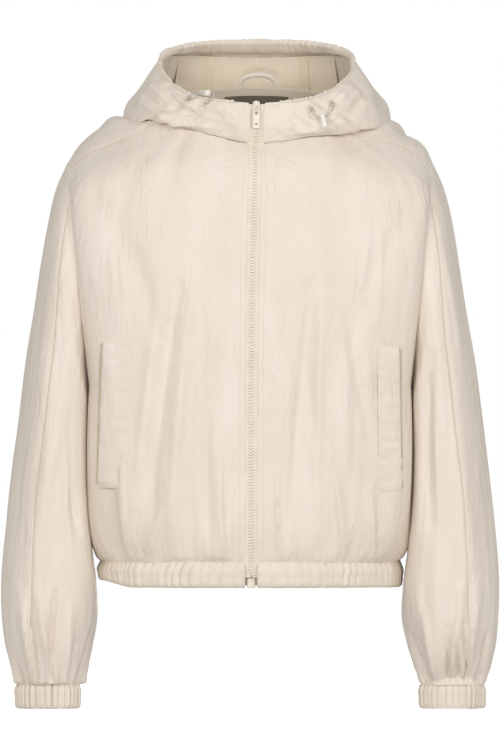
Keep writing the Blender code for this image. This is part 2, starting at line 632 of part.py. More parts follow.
def welt(side):
    """A pocket welt on the front panel, from its inner (0) to its outer edge (1)."""
    outer_top, inner_top, top, outer_foot, inner_foot, foot = WELTS[side]
    panel = facets(front(side), FRONT_COLUMNS, PANEL_ROWS)

    def surface(across, up):
        z = foot + (top - foot) * up
        inner = inner_foot + (inner_top - inner_foot) * up
        outer = outer_foot + (outer_top - outer_foot) * up
        share = (inner + (outer - inner) * across - ZIP_OPENING) / (side_x(z) - ZIP_OPENING)
        return panel(np.arcsin(share ** (1 / SECTION_POWER)) * 2 / math.pi, row_share(z))
    return surface


# Solids
def finish(name):
    """The material of a named finish."""
    material = bpy.data.materials.get(name)
    if material is None:
        red, green, blue, roughness, metallic = FINISHES[name]
        material = bpy.data.materials.new(name)
        material.use_nodes = True
        shader = material.node_tree.nodes["Principled BSDF"]
        shader.inputs["Base Color"].default_value = (red, green, blue, 1.0)
        shader.inputs["Roughness"].default_value = roughness
        shader.inputs["Metallic"].default_value = metallic
    return material


def add_object(name, mesh, finish_name, location=(0.0, 0.0, 0.0)):
    """Puts a mesh in the jacket's collection as a named piece."""
    mesh.shade_smooth()
    mesh.set_sharp_from_angle(angle=math.radians(40))
    mesh.materials.append(finish(finish_name))
    piece = bpy.data.objects.new(name, mesh)
    piece.location = location
    bpy.data.collections["hooded_jacket"].objects.link(piece)
    return piece


def surface_normals(surface, across, up):
    """Unit normals from small steps on the surface."""
    step = 1e-4
    sideways = surface(across + step, up) - surface(across - step, up)
    upwards = surface(across, up + step) - surface(across, up - step)
    normals = np.cross(sideways, upwards)
    return normals / np.linalg.norm(normals, axis=-1, keepdims=True)


def wall(name, surface, cells, thickness, finish_name, turned=1, lift=0.0, relief=None,
         is_ring=False, adjust=None):
    """A closed cloth wall on a surface(across, up), with its thickness laid inwards.

    turned is -1 where the surface's own normals point inwards, lift moves the wall out,
    and relief raises its outer face over a plain inside.
    """
    bm = bmesh.new()
    bmesh.ops.create_grid(bm, x_segments=cells[0], y_segments=cells[1], size=0.5)
    order = bm.verts.layers.int.new("order")
    for index, vert in enumerate(bm.verts):
        vert[order] = index
    across = np.array([vert.co.x + 0.5 for vert in bm.verts])
    up = np.array([vert.co.y + 0.5 for vert in bm.verts])
    normals = turned * surface_normals(surface, across, up)
    if adjust is not None:
        normals = adjust(across, up, normals)
    outer = surface(across, up) + lift * normals
    inner = outer - thickness * normals
    if relief is not None:
        outer = outer + relief(across, up)[:, None] * normals
    for vert in bm.verts:
        vert.co = outer[vert[order]]
    if is_ring:
        bmesh.ops.remove_doubles(bm, verts=bm.verts[:], dist=1e-6)
    grown = bmesh.ops.extrude_face_region(bm, geom=bm.faces[:], use_keep_orig=True)
    for item in grown["geom"]:
        if isinstance(item, bmesh.types.BMVert):
            item.co = inner[item[order]]
    bmesh.ops.recalc_face_normals(bm, faces=bm.faces[:])
    mesh = bpy.data.meshes.new(name)
    bm.to_mesh(mesh)
    bm.free()
    return add_object(name, mesh, finish_name)


def box_mesh(name, low, high, bevel=0.0):
    """A box between two corners, with its edges rounded over."""
    low, high = Vector(low), Vector(high)
    place = Matrix.Translation((low + high) / 2) @ Matrix.Diagonal((*(high - low), 1.0))
    bm = bmesh.new()
    bmesh.ops.create_cube(bm, size=1.0, matrix=place)
    if bevel:
        bmesh.ops.bevel(bm, geom=bm.edges[:], offset=bevel, segments=2, profile=0.5, affect="EDGES")
    mesh = bpy.data.meshes.new(name)
    bm.to_mesh(mesh)
    bm.free()
    return mesh


def cut_or_join(piece, mesh, operation):
    """Cuts a mesh out of a piece, or joins it on, with a hidden helper object."""
    helper = bpy.data.objects.new(f"{piece.name}_{mesh.name}", mesh)
    helper.parent = piece
    helper.hide_render = True
    helper.display_type = "WIRE"
    bpy.data.collections["cutters"].objects.link(helper)
    boolean = piece.modifiers.new(mesh.name, "BOOLEAN")
    boolean.object = helper
    boolean.operation = operation


def body_panels():
    for side, name in SIDE_NAMES.items():
        wall(f"front_{name}", front(side), (FRONT_COLUMNS, PANEL_ROWS), SHELL_WALL, "nylon_shell",
             turned=side)
    wall("back", back, (2 * BACK_COLUMNS, PANEL_ROWS), SHELL_WALL, "nylon_shell", turned=-1)
    wall("hem_band", hem_band, (3 * HEM_WAVES, 1), SHELL_WALL, "elastic_band", turned=-1,
         relief=waves(HEM_WAVES, HEM_WAVE_HEIGHT))


def sleeves():
    rings = len(SLEEVE_RINGS["outer_x"]) - 1
    for side, name in SIDE_NAMES.items():
        for is_front, half, columns in ((True, "front", 9), (False, "back", 18)):
            wall(f"sleeve_{half}_{name}", sleeve_panel(side, is_front), (columns, rings), SHELL_WALL,
                 "nylon_shell", turned=side, adjust=sleeve_edge_normals(side, is_front))
        wall(f"cuff_{name}", cuff(side), (3 * CUFF_WAVES, 1), SHELL_WALL, "elastic_band",
             turned=side, relief=waves(CUFF_WAVES, CUFF_WAVE_HEIGHT), is_ring=True)


def hood_pieces():
    seam, gap, whole = HOOD_SEAM_COLUMN, HOOD_GAP_COLUMN, HOOD_COLUMNS
    panels = (
        # name, first column line, last column line, columns
        ("left", 0, seam - gap, seam),
        ("centre", seam + gap, whole - seam - gap, whole - 2 * seam),
        ("right", whole - seam + gap, whole, seam),
    )
    for name, start, end, columns in panels:
        wall(f"hood_{name}", hood_panel(start, end), (columns, HOOD_ROWS), SHELL_WALL, "nylon_shell")
        start, end = max(start, LINING_FIRST_COLUMN), min(end, whole - LINING_FIRST_COLUMN)
        lining = hood_panel(start, end, LINING_FIRST_ROW / HOOD_ROWS, LINING_LAST_ROW / HOOD_ROWS)
        wall(f"hood_lining_{name}", lining, (round(end - start), LINING_LAST_ROW - LINING_FIRST_ROW),
             LINING_WALL, "mesh_lining", lift=-LINING_DROP)
    casing = hood_panel(CASING_FIRST_COLUMN, whole - CASING_FIRST_COLUMN, CASING_START, CASING_END)
    wall("hood_casing", casing, (3 * CASING_WAVES, 1), LINING_WALL, "nylon_shell", turned=-1,
         lift=CASING_DROP + LINING_WALL, relief=waves(CASING_WAVES, CASING_WAVE_HEIGHT))


def neck_pieces():
    """Lining, bare label and hanger loop inside the back of the neck."""
    columns, rows = 2 * BACK_COLUMNS, PANEL_ROWS

    def lining(across, up):
        return back((NECK_LINING_COLUMN + (columns - 2 * NECK_LINING_COLUMN) * across) / columns,
                    (NECK_LINING_ROW + (rows - NECK_LINING_ROW) * up) / rows)
    cells = (columns - 2 * NECK_LINING_COLUMN, rows - NECK_LINING_ROW)
    wall("neck_lining", lining, cells, LINING_WALL, "mesh_lining", turned=-1, lift=-LINING_NECK_DROP)
    flat_back = facets(back, columns, rows)

    def label(across, up):
        return flat_back(0.5 + LABEL_HALF_SHARE * (2 * across - 1),
                         LABEL_FOOT_SHARE + (LABEL_TOP_SHARE - LABEL_FOOT_SHARE) * up)
    wall("neck_label", label, (6, 2), LINING_WALL, "label_cloth", turned=-1,
         lift=-LINING_NECK_DROP - LINING_WALL - 2 * SEAM_GAP)

    def loop(across, up):
        turn = math.pi * across
        return stack(LOOP_CENTRE_X - LOOP_HALF_SPAN * np.cos(turn),
                     LOOP_Y + LOOP_HALF_WIDTH * (2 * up - 1),
                     LOOP_FOOT_Z + LOOP_RISE * np.sin(turn))
    wall("hanger_loop", loop, (14, 1), LOOP_WALL, "nylon_shell", turned=-1)


def pocket_welts():
    for side, name in SIDE_NAMES.items():
        wall(f"welt_{name}", welt(side), (6, 18), WELT_WALL, "nylon_shell", turned=side,
             lift=WELT_LIFT + WELT_WALL)


def zip_pieces():
    rim_top = float(rim(np.array(0.0))[2])
    for side, name in SIDE_NAMES.items():
        tape, rows = zip_strip(side * TAPE_START, side * TAPE_END, ZIP_BOX_TOP + SEAM_GAP,
                               rim_top - 0.001)
        wall(f"zip_tape_{name}", tape, (1, rows), TAPE_WALL, "zip_tape", turned=side, lift=-TAPE_DROP)
    chain, rows = zip_strip(-CHAIN_HALF_WIDTH, CHAIN_HALF_WIDTH, ZIP_BOX_TOP + SEAM_GAP, CHAIN_TOP)
    wall("zip_chain", chain, (1, rows), CHAIN_WALL, "zip_plastic", lift=CHAIN_LIFT)
    x, y = float(lean(ZIP_BOX_FOOT)), float(zip_depth(ZIP_BOX_FOOT)) - ZIP_BOX_STANDOFF
    mesh = box_mesh("zip_box", (x - ZIP_BOX_WIDTH / 2, y, ZIP_BOX_FOOT),
                    (x + ZIP_BOX_WIDTH / 2, y + ZIP_BOX_DEPTH, ZIP_BOX_TOP), 0.0009)
    add_object("zip_box", mesh, "zip_plastic")


def slider_frame():
    """The slider's middle: sideways place and the depth of its front plate's outer face."""
    chain_face = float(zip_depth(PIVOT_HEIGHT)) - CHAIN_LIFT
    return float(lean(PIVOT_HEIGHT)), chain_face - SLIDER_CLEARANCE - SLIDER_WALL


def bail_mesh(x, y):
    """A half ring on the slider's front plate that holds the pull tab's bar."""
    centre_z = PIVOT_HEIGHT
    bm = bmesh.new()
    bmesh.ops.create_cone(bm, cap_ends=True, segments=20, radius1=BAIL_RADIUS + BAIL_WIRE,
                          radius2=BAIL_RADIUS + BAIL_WIRE, depth=BAIL_WIDTH,
                          matrix=Matrix.Translation((x, y - PIVOT_STANDOFF, centre_z))
                          @ Matrix.Rotation(math.pi / 2, 4, "Y"))
    mesh = bpy.data.meshes.new("bail")
    bm.to_mesh(mesh)
    bm.free()
    return mesh


def bail_hole_mesh(x, y):
    """The eye of the bail: round about the pivot."""
    bm = bmesh.new()
    bmesh.ops.create_cone(bm, cap_ends=True, segments=20, radius1=PIVOT_STANDOFF - SEAM_GAP,
                          radius2=PIVOT_STANDOFF - SEAM_GAP, depth=4 * BAIL_WIDTH,
                          matrix=Matrix.Translation((x, y - PIVOT_STANDOFF, PIVOT_HEIGHT))
                          @ Matrix.Rotation(math.pi / 2, 4, "Y"))
    mesh = bpy.data.meshes.new("bail_eye")
    bm.to_mesh(mesh)
    bm.free()
    return mesh


def slider():
    """Front plate with crown and bail, a post above the chain, and the back plate."""
    x, y = slider_frame()
    half = SLIDER_WIDTH / 2
    mesh = box_mesh("zip_slider", (x - half, y, SLIDER_FOOT), (x + half, y + SLIDER_WALL, SLIDER_TOP),
                    0.0005)
    piece = add_object("zip_slider", mesh, "enamelled_zinc")
    crown = box_mesh("crown", (x - CROWN_WIDTH / 2, y - CROWN_DEPTH, CROWN_FOOT),
                     (x + CROWN_WIDTH / 2, y + SLIDER_WALL / 2, SLIDER_TOP + 0.0008), 0.0010)
    cut_or_join(piece, crown, "UNION")
    back_face = y + SLIDER_WALL + SLIDER_CLEARANCE + CHAIN_LIFT + TAPE_DROP + TAPE_WALL + SLIDER_CLEARANCE
    post_half = TAPE_START - 0.0012
    post = box_mesh("post", (x - post_half, y + SLIDER_WALL / 2, CHAIN_TOP + 0.0006),
                    (x + post_half, back_face + SLIDER_WALL / 2, SLIDER_TOP - 0.0006))
    cut_or_join(piece, post, "UNION")
    plate = box_mesh("back_plate", (x - half, back_face, SLIDER_FOOT),
                     (x + half, back_face + SLIDER_WALL, SLIDER_TOP), 0.0005)
    cut_or_join(piece, plate, "UNION")
    cut_or_join(piece, bail_mesh(x, y), "UNION")
    cut_or_join(piece, bail_hole_mesh(x, y), "DIFFERENCE")


def pull_tab():
    """The tab hangs from a bar through the bail and turns about that bar."""
    x, y = slider_frame()
    pivot = (x, y - PIVOT_STANDOFF, PIVOT_HEIGHT)
    half, half_wall, half_bar = PULL_WIDTH / 2, PULL_WALL / 2, PULL_BAR / 2
    mesh = box_mesh("zip_pull", (-half, -half_wall, -PULL_REACH), (half, half_wall, half_bar), 0.0003)
    piece = add_object("zip_pull", mesh, "enamelled_zinc", location=pivot)
    window = box_mesh("window", (-PULL_WINDOW_WIDTH / 2, -PULL_WALL, -PULL_WINDOW_REACH),
                      (PULL_WINDOW_WIDTH / 2, PULL_WALL, -half_bar))
    cut_or_join(piece, window, "DIFFERENCE")
    hole = box_mesh("hole", (-PULL_HOLE_WIDTH / 2, -PULL_WALL, -PULL_HOLE_REACH - PULL_HOLE_HEIGHT / 2),
                    (PULL_HOLE_WIDTH / 2, PULL_WALL, -PULL_HOLE_REACH + PULL_HOLE_HEIGHT / 2))
    cut_or_join(piece, hole, "DIFFERENCE")


def eyelet_frame(turn, along):
    """An eyelet's place on the hood and the way it faces."""
    at = (np.array([math.radians(turn)]), np.array([along]))
    return hood(*at)[0], surface_normals(hood, *at)[0]


def eyelet(name, turn, along):
    """A flat ring on the hood."""
    middle, facing = eyelet_frame(turn, along)
    level = np.cross((0.0, 0.0, 1.0), facing)
    level = level / np.linalg.norm(level)
    upright = np.cross(facing, level)

    def surface(across, up):
        reach = EYELET_HOLE + (EYELET_RADIUS - EYELET_HOLE) * up
        angle = 2 * math.pi * across
        return (middle + (reach * np.cos(angle))[..., None] * level
                + (reach * np.sin(angle))[..., None] * upright)
    wall(name, surface, (12, 1), EYELET_WALL, "enamelled_zinc", turned=-1, is_ring=True,
         lift=EYELET_LIFT + EYELET_WALL)


def rod_mesh(name, middle, axis, radius, length, sides):
    """A round rod about an axis."""
    bm = bmesh.new()
    turn = Vector(axis).to_track_quat("Z", "Y").to_matrix().to_4x4()
    bmesh.ops.create_cone(bm, cap_ends=True, segments=sides, radius1=radius, radius2=radius,
                          depth=length, matrix=Matrix.Translation(middle) @ turn)
    mesh = bpy.data.meshes.new(name)
    bm.to_mesh(mesh)
    bm.free()
    return mesh


def cord(name, points):
    """A round cord with closed ends along a smooth curve through the points."""
    points = np.array(points)
    reach = np.concatenate([[0.0], np.cumsum(np.linalg.norm(np.diff(points, axis=0), axis=1))])
    at = np.linspace(0, reach[-1], CORD_BEND_POINTS)
    path = stack(*[smooth(reach, points[:, axis], at) for axis in range(3)])
    curve = bpy.data.curves.new(name, "CURVE")
    curve.dimensions = "3D"
    curve.bevel_depth, curve.bevel_resolution, curve.use_fill_caps = CORD_RADIUS, 2, True
    spline = curve.splines.new("POLY")
    spline.points.add(len(path) - 1)
    for point, place in zip(spline.points, path):
        point.co = (*place, 1.0)
    curve.materials.append(finish("cord_braid"))
    bpy.data.collections["hooded_jacket"].objects.link(bpy.data.objects.new(name, curve))


def drawcord():
    """On each side two eyelets, the cord between them and the lock that the cord runs through."""
    for side, name in SIDE_NAMES.items():
        ends = []
        for place, (turn, along) in zip(("outer", "inner"), EYELETS[side]):
            eyelet(f"eyelet_{place}_{name}", turn, along)
            middle, facing = eyelet_frame(turn, along)
            ends.append((middle + CORD_END_LIFT * facing, middle + CORD_RISE * facing))
        middle, axis, way, hole_place = LOCKS[side]
        hole = np.array(middle) + hole_place * np.array(axis)
        piece = add_object(f"cord_lock_{name}",
                           rod_mesh(f"cord_lock_{name}", middle, axis, LOCK_RADIUS, LOCK_LENGTH, 16),
                           "moulded_lock")
        cut_or_join(piece, rod_mesh("cord_hole", hole, way, LOCK_HOLE_RADIUS, 4 * LOCK_RADIUS, 10),
                    "DIFFERENCE")
        reach = (LOCK_RADIUS + 0.0012) * np.array(way)
        before, after = CORD_BENDS[side]
        route = [*ends[0], before, hole - reach, hole, hole + reach, after, *ends[1][::-1]]
        cord(f"drawcord_{name}", route)


def main():
    for item in list(bpy.data.objects):
        bpy.data.objects.remove(item, do_unlink=True)
    for name in ("hooded_jacket", "cutters"):
        bpy.context.scene.collection.children.link(bpy.data.collections.new(name))
    body_panels()
    sleeves()
    hood_pieces()
    neck_pieces()
    pocket_welts()
    zip_pieces()
    slider()
    pull_tab()
    drawcord()


main()
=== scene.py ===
"""Dressed scene of a short hooded windbreaker: sewn nylon panels, lowered hood, zip and drawcord.

Metres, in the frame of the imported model: +Z up, the front faces -Y, the wearer's left is +X.
"""

from __future__ import annotations

import logging
import math
from collections.abc import Callable, Sequence
from dataclasses import dataclass
from enum import Enum

import bpy
import numpy as np
from mathutils import Matrix, Vector

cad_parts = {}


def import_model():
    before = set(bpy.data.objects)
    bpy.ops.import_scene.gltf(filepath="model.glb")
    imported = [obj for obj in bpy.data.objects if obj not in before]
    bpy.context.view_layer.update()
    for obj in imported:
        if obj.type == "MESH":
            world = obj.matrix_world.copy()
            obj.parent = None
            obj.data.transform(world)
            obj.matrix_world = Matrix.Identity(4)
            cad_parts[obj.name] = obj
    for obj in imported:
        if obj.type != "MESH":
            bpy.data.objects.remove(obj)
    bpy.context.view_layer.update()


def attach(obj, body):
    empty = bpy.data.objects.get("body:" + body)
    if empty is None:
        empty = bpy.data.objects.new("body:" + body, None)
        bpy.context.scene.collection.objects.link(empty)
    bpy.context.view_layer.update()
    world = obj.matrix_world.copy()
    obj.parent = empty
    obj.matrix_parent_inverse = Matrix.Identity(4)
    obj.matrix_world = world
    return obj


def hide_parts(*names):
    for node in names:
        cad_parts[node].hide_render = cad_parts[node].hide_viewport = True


LOG = logging.getLogger("jacket")
JACKET = "jacket"

Array = np.ndarray
Surface = Callable[[Array, Array], Array]


class Side(Enum):
    """The wearer's sides, with the sign of X on each."""

    RIGHT = -1
    LEFT = 1

    @property
    def label(self) -> str:
        """The side's word in node names."""
        return self.name.lower()


# Curves and noise
def smooth(places: Sequence[float], values: Sequence[float], at: Array) -> Array:
    """Reads a cubic curve through the values, with slopes from their neighbours.

    Args:
        places: Rising places of the values.
        values: The values there.
        at: Where to read the curve.

    Returns:
        The curve at those places, held level beyond its ends.
    """
    places, values = np.asarray(places, float), np.asarray(values, float)
    slopes = np.gradient(values, places)
    at = np.clip(at, places[0], places[-1])
    left = np.clip(np.searchsorted(places, at) - 1, 0, len(places) - 2)
    step = places[left + 1] - places[left]
    t = (at - places[left]) / step
    return ((2 * t**3 - 3 * t**2 + 1) * values[left] + (t**3 - 2 * t**2 + t) * step * slopes[left]
            + (3 * t**2 - 2 * t**3) * values[left + 1] + (t**3 - t**2) * step * slopes[left + 1])


def ease(t: Array) -> Array:
    """Goes from 0 to 1 with level ends."""
    t = np.clip(t, 0.0, 1.0)
    return t * t * (3 - 2 * t)


def signed_power(value: Array, power: float) -> Array:
    """Raises the size of a value to a power and keeps its sign."""
    return np.sign(value) * np.abs(value) ** power


def bezier(s: Array, first: Array, second: Array, third: Array, last: Array) -> Array:
    """A cubic curve by its four points, with shares that have one more axis of length 1."""
    return (1 - s)**3 * first + 3 * (1 - s)**2 * s * second + 3 * (1 - s) * s**2 * third + s**3 * last


def stack(x: Array, y: Array, z: Array) -> Array:
    """Joins three coordinates into points."""
    return np.stack(np.broadcast_arrays(x, y, z), axis=-1)


def lattice(column: Array, row: Array, seed: int) -> Array:
    """Gives repeatable values from -1 to 1 on whole-number places."""
    mixed = np.sin(column * 127.1 + row * 311.7 + seed * 74.7) * 43758.5453
    return 2 * (mixed - np.floor(mixed)) - 1


def noise(x: Array, y: Array, seed: int) -> Array:
    """Gives smooth repeatable noise from -1 to 1, with one bump to a unit."""
    left, low = np.floor(x), np.floor(y)
    a, b = ease(x - left), ease(y - low)
    foot = lattice(left, low, seed) * (1 - a) + lattice(left + 1, low, seed) * a
    head = lattice(left, low + 1, seed) * (1 - a) + lattice(left + 1, low + 1, seed) * a
    return foot * (1 - b) + head * b


def pleats(place: Array, pitch: float, seed: int) -> Array:
    """Gives uneven gathers from 0 in the valleys to 1 on the rounded crests.

    Args:
        place: Distance along the gathered seam, in metres.
        pitch: Mean distance of the gathers, in metres.
        seed: Picks their unevenness.

    Returns:
        The height of each place.
    """
    wander = 0.85 * noise(place / (2.3 * pitch), 0 * place, seed)
    crest = np.abs(np.sin(math.pi * (place / pitch + wander)))
    size = 0.62 + 0.38 * noise(place / (1.7 * pitch), 0 * place + 5, seed + 1)
    return size * (1 - (1 - crest) ** 2.6)


@dataclass(frozen=True)
class Ripple:
    """Uneven soft waves: their height, distance and run, and the seed that picks them."""

    height: float
    pitch: float
    run: float
    seed: int

    def shape(self, place: Array, way: Array, shift: int = 0) -> Array:
        """The waves from -1 to 1, by the place across them and the way along them."""
        return noise(place / self.pitch, way / self.run, self.seed + shift)

    def rise(self, place: Array, way: Array, shift: int = 0) -> Array:
        """The waves at their height."""
        return self.height * self.shape(place, way, shift)


@dataclass(frozen=True)
class Crease:
    """A soft fold on a front-facing surface, placed by X and Z in metres."""

    start: tuple[float, float]
    end: tuple[float, float]
    half_width: float
    height: float
    bow: float = 0.0
    skew: float = 0.0

    def rise(self, points: Array) -> Array:
        """Gives the fold's height at points, with soft ends and a steeper flank where skewed."""
        start, end = np.array(self.start), np.array(self.end)
        line = end - start
        length = float(np.hypot(*line))
        way = line / length
        x, z = points[..., 0] - start[0], points[..., 2] - start[1]
        share = (x * way[0] + z * way[1]) / length
        held = np.clip(share, 0, 1)
        away = x * way[1] - z * way[0] - self.bow * 4 * held * (1 - held)
        width = self.half_width * (1 + self.skew * np.sign(away))
        beyond = (share - held) * length
        return self.height * np.exp(-(away / width) ** 2 - (beyond / (2 * self.half_width)) ** 2) * (
            0.35 + 0.65 * np.sin(math.pi * np.clip(held, 0.05, 0.95)))


def folded(points: Array, creases: Sequence[Crease]) -> Array:
    """Adds up the heights of the creases at the points."""
    total = np.zeros(points.shape[:-1])
    for crease in creases:
        total = total + crease.rise(points)
    return total


# Colours and materials
SHEEN_ROUGHNESS = 0.45

# Scale of a wave texture that makes one band to a unit
ONE_BAND = 0.318


def linear(tone: str) -> tuple[float, float, float, float]:
    """Turns an sRGB hex colour into linear values."""
    parts = [int(tone[i:i + 2], 16) / 255 for i in (0, 2, 4)]
    red, green, blue = [p / 12.92 if p <= 0.04045 else ((p + 0.055) / 1.055) ** 2.4 for p in parts]
    return red, green, blue, 1.0


def add_node(tree: bpy.types.NodeTree, kind: str, inputs: dict | None = None,
             **settings: object) -> bpy.types.Node:
    """Adds a node to a tree.

    Args:
        tree: The node tree.
        kind: The node's type name.
        inputs: Input name or index to a value, or to an output socket that is linked to it.
        settings: Properties of the node.

    Returns:
        The new node.
    """
    node = tree.nodes.new(kind)
    for name, value in settings.items():
        setattr(node, name, value)
    for name, value in (inputs or {}).items():
        if isinstance(value, bpy.types.NodeSocket):
            tree.links.new(value, node.inputs[name])
        else:
            node.inputs[name].default_value = value
    return node


@dataclass(frozen=True)
class Finish:
    """A material: its sockets' plain values and the fine relief and mottle of its surface."""

    name: str
    tone: str
    shade_tone: str
    roughness: float
    ior: float = 1.5
    metallic: float = 0.0
    sheen: float = 0.0
    glow: float = 0.0
    mottle_mm: float = 25.0
    grain_mm: float = 2.0
    grain_depth_mm: float = 0.10
    stretch: tuple[float, float, float] = (1.0, 1.0, 1.0)

    def start(self) -> tuple[bpy.types.Material, bpy.types.NodeTree, bpy.types.Node]:
        """Makes the material with its plain sockets set."""
        material = bpy.data.materials.new(self.name)
        material.use_nodes = True
        tree = material.node_tree
        shader = tree.nodes["Principled BSDF"]
        shader.inputs["Roughness"].default_value = self.roughness
        shader.inputs["IOR"].default_value = self.ior
        shader.inputs["Metallic"].default_value = self.metallic
        shader.inputs["Sheen Weight"].default_value = self.sheen
        shader.inputs["Sheen Roughness"].default_value = SHEEN_ROUGHNESS
        shader.inputs["Emission Color"].default_value = linear(self.tone)
        shader.inputs["Emission Strength"].default_value = self.glow
        material.diffuse_color = linear(self.tone)
        return material, tree, shader

    def place(self, tree: bpy.types.NodeTree) -> bpy.types.NodeSocket:
        """Gives object coordinates in millimetres, stretched along the grain."""
        where = add_node(tree, "ShaderNodeTexCoord")
        scale = [1000 * share for share in self.stretch]
        mapping = add_node(tree, "ShaderNodeMapping",
                           {"Vector": where.outputs["Object"], "Scale": scale})
        return mapping.outputs["Vector"]

    def mottled(self, tree: bpy.types.NodeTree, at: bpy.types.NodeSocket) -> bpy.types.NodeSocket:
        """Gives the colour, drifting between the two tones."""
        patches = add_node(tree, "ShaderNodeTexNoise", {
            "Vector": at, "Scale": 1 / self.mottle_mm, "Detail": 4.0, "Roughness": 0.6})
        ramp = add_node(tree, "ShaderNodeValToRGB", {"Fac": patches.outputs["Fac"]})
        ramp.color_ramp.elements[0].position = 0.34
        ramp.color_ramp.elements[0].color = linear(self.shade_tone)
        ramp.color_ramp.elements[1].position = 0.66
        ramp.color_ramp.elements[1].color = linear(self.tone)
        return ramp.outputs["Color"]

    def grained(self, tree: bpy.types.NodeTree, height: bpy.types.NodeSocket,
                depth_mm: float) -> bpy.types.NodeSocket:
        """Gives a normal bumped by a height from 0 to 1."""
        bump = add_node(tree, "ShaderNodeBump", {
            "Height": height, "Distance": depth_mm / 1000, "Strength": 1.0})
        return bump.outputs["Normal"]

    def material(self) -> bpy.types.Material:
        """Gives the material made before, or makes it."""
        return bpy.data.materials.get(self.name) or self.make()

    def make(self) -> bpy.types.Material:
        """Makes the material: a drifting colour and a fine grain."""
        made, tree, shader = self.start()
        at = self.place(tree)
        tree.links.new(self.mottled(tree, at), shader.inputs["Base Color"])
        grain = add_node(tree, "ShaderNodeTexNoise", {
            "Vector": at, "Scale": 1 / self.grain_mm, "Detail": 3.0, "Roughness": 0.55})
        tree.links.new(self.grained(tree, grain.outputs["Fac"], self.grain_depth_mm),
                       shader.inputs["Normal"])
        return made


@dataclass(frozen=True)
class CrinkledNylon(Finish):
    """Thin plain-woven nylon: a soft sheen over dry crinkles that run down the cloth.

    The weave itself is a fifth of a millimetre and stays below what the picture shows.
    """

    crinkle_mm: float = 9.0
    crinkle_depth_mm: float = 2.3
    patch_mm: float = 30.0

    def make(self) -> bpy.types.Material:
        """Makes the cloth: long shallow crinkles under a finer dry grain."""
        made, tree, shader = self.start()
        at = self.place(tree)
        tree.links.new(self.mottled(tree, at), shader.inputs["Base Color"])
        crinkle = add_node(tree, "ShaderNodeTexNoise", {
            "Vector": at, "Scale": 1 / self.crinkle_mm, "Detail": 4.0, "Roughness": 0.5,
            "Distortion": 0.7})
        grain = add_node(tree, "ShaderNodeTexNoise", {
            "Vector": at, "Scale": 1 / self.grain_mm, "Detail": 2.0})
        patches = add_node(tree, "ShaderNodeTexNoise", {
            "Vector": at, "Scale": 1 / self.patch_mm, "Detail": 1.0})
        calm = add_node(tree, "ShaderNodeMapRange", {
            "Value": patches.outputs["Fac"], "From Min": 0.36, "From Max": 0.66, "To Min": 0.25})
        crinkled = add_node(tree, "ShaderNodeMath", {
            0: crinkle.outputs["Fac"], 1: calm.outputs["Result"]}, operation="MULTIPLY")
        share = self.grain_depth_mm / self.crinkle_depth_mm
        height = add_node(tree, "ShaderNodeMath", {
            0: grain.outputs["Fac"], 1: share, 2: crinkled.outputs["Value"]}, operation="MULTIPLY_ADD")
        tree.links.new(self.grained(tree, height.outputs["Value"], self.crinkle_depth_mm),
                       shader.inputs["Normal"])
        return made


@dataclass(frozen=True)
class KnittedMesh(Finish):
    """Warp-knit mesh lining: rows of small open holes between raised yarns.

    The holes of the real one are about 1.2 mm apart; they are drawn 2.4 mm apart to show. The holes are
    painted darker than the yarns: painted shade for the dim gap seen through them.
    """

    hole_mm: float = 2.4
    # Colour of the holes: painted shade for the dim space behind the mesh
    hole_tone: str = "D3C2A4"

    def make(self) -> bpy.types.Material:
        """Makes the mesh from two crossing waves on the cloth's own map."""
        made, tree, shader = self.start()
        where = add_node(tree, "ShaderNodeTexCoord")
        heights = []
        for turn in (math.radians(32), math.radians(-32)):
            mapping = add_node(tree, "ShaderNodeMapping", {
                "Vector": where.outputs["UV"], "Rotation": (0.0, 0.0, turn),
                "Scale": (1000 / self.hole_mm,) * 3})
            wave = add_node(tree, "ShaderNodeTexWave", {
                "Vector": mapping.outputs["Vector"], "Scale": ONE_BAND, "Distortion": 0.4,
                "Detail": 1.0})
            heights.append(wave.outputs["Fac"])
        yarn = add_node(tree, "ShaderNodeMath", {0: heights[0], 1: heights[1]}, operation="MAXIMUM")
        # Between the yarns the ramp gives the holes their painted shade
        ramp = add_node(tree, "ShaderNodeValToRGB", {"Fac": yarn.outputs["Value"]})
        ramp.color_ramp.elements[0].position = 0.25
        ramp.color_ramp.elements[0].color = linear(self.hole_tone)
        ramp.color_ramp.elements[1].position = 0.70
        ramp.color_ramp.elements[1].color = linear(self.tone)
        tree.links.new(ramp.outputs["Color"], shader.inputs["Base Color"])
        tree.links.new(self.grained(tree, yarn.outputs["Value"], self.grain_depth_mm),
                       shader.inputs["Normal"])
        return made


@dataclass(frozen=True)
class Braid(Finish):
    """Round braided cord or twill tape: slanting strands on the piece's own map."""

    strand_mm: float = 1.6
    slant: float = 50.0

    def make(self) -> bpy.types.Material:
        """Makes the strands from a slanted wave."""
        made, tree, shader = self.start()
        tree.links.new(self.mottled(tree, self.place(tree)), shader.inputs["Base Color"])
        where = add_node(tree, "ShaderNodeTexCoord")
        mapping = add_node(tree, "ShaderNodeMapping", {
            "Vector": where.outputs["UV"], "Rotation": (0.0, 0.0, math.radians(self.slant)),
            "Scale": (1000 / self.strand_mm,) * 3})
        wave = add_node(tree, "ShaderNodeTexWave", {
            "Vector": mapping.outputs["Vector"], "Scale": ONE_BAND})
        tree.links.new(self.grained(tree, wave.outputs["Fac"], self.grain_depth_mm),
                       shader.inputs["Normal"])
        return made


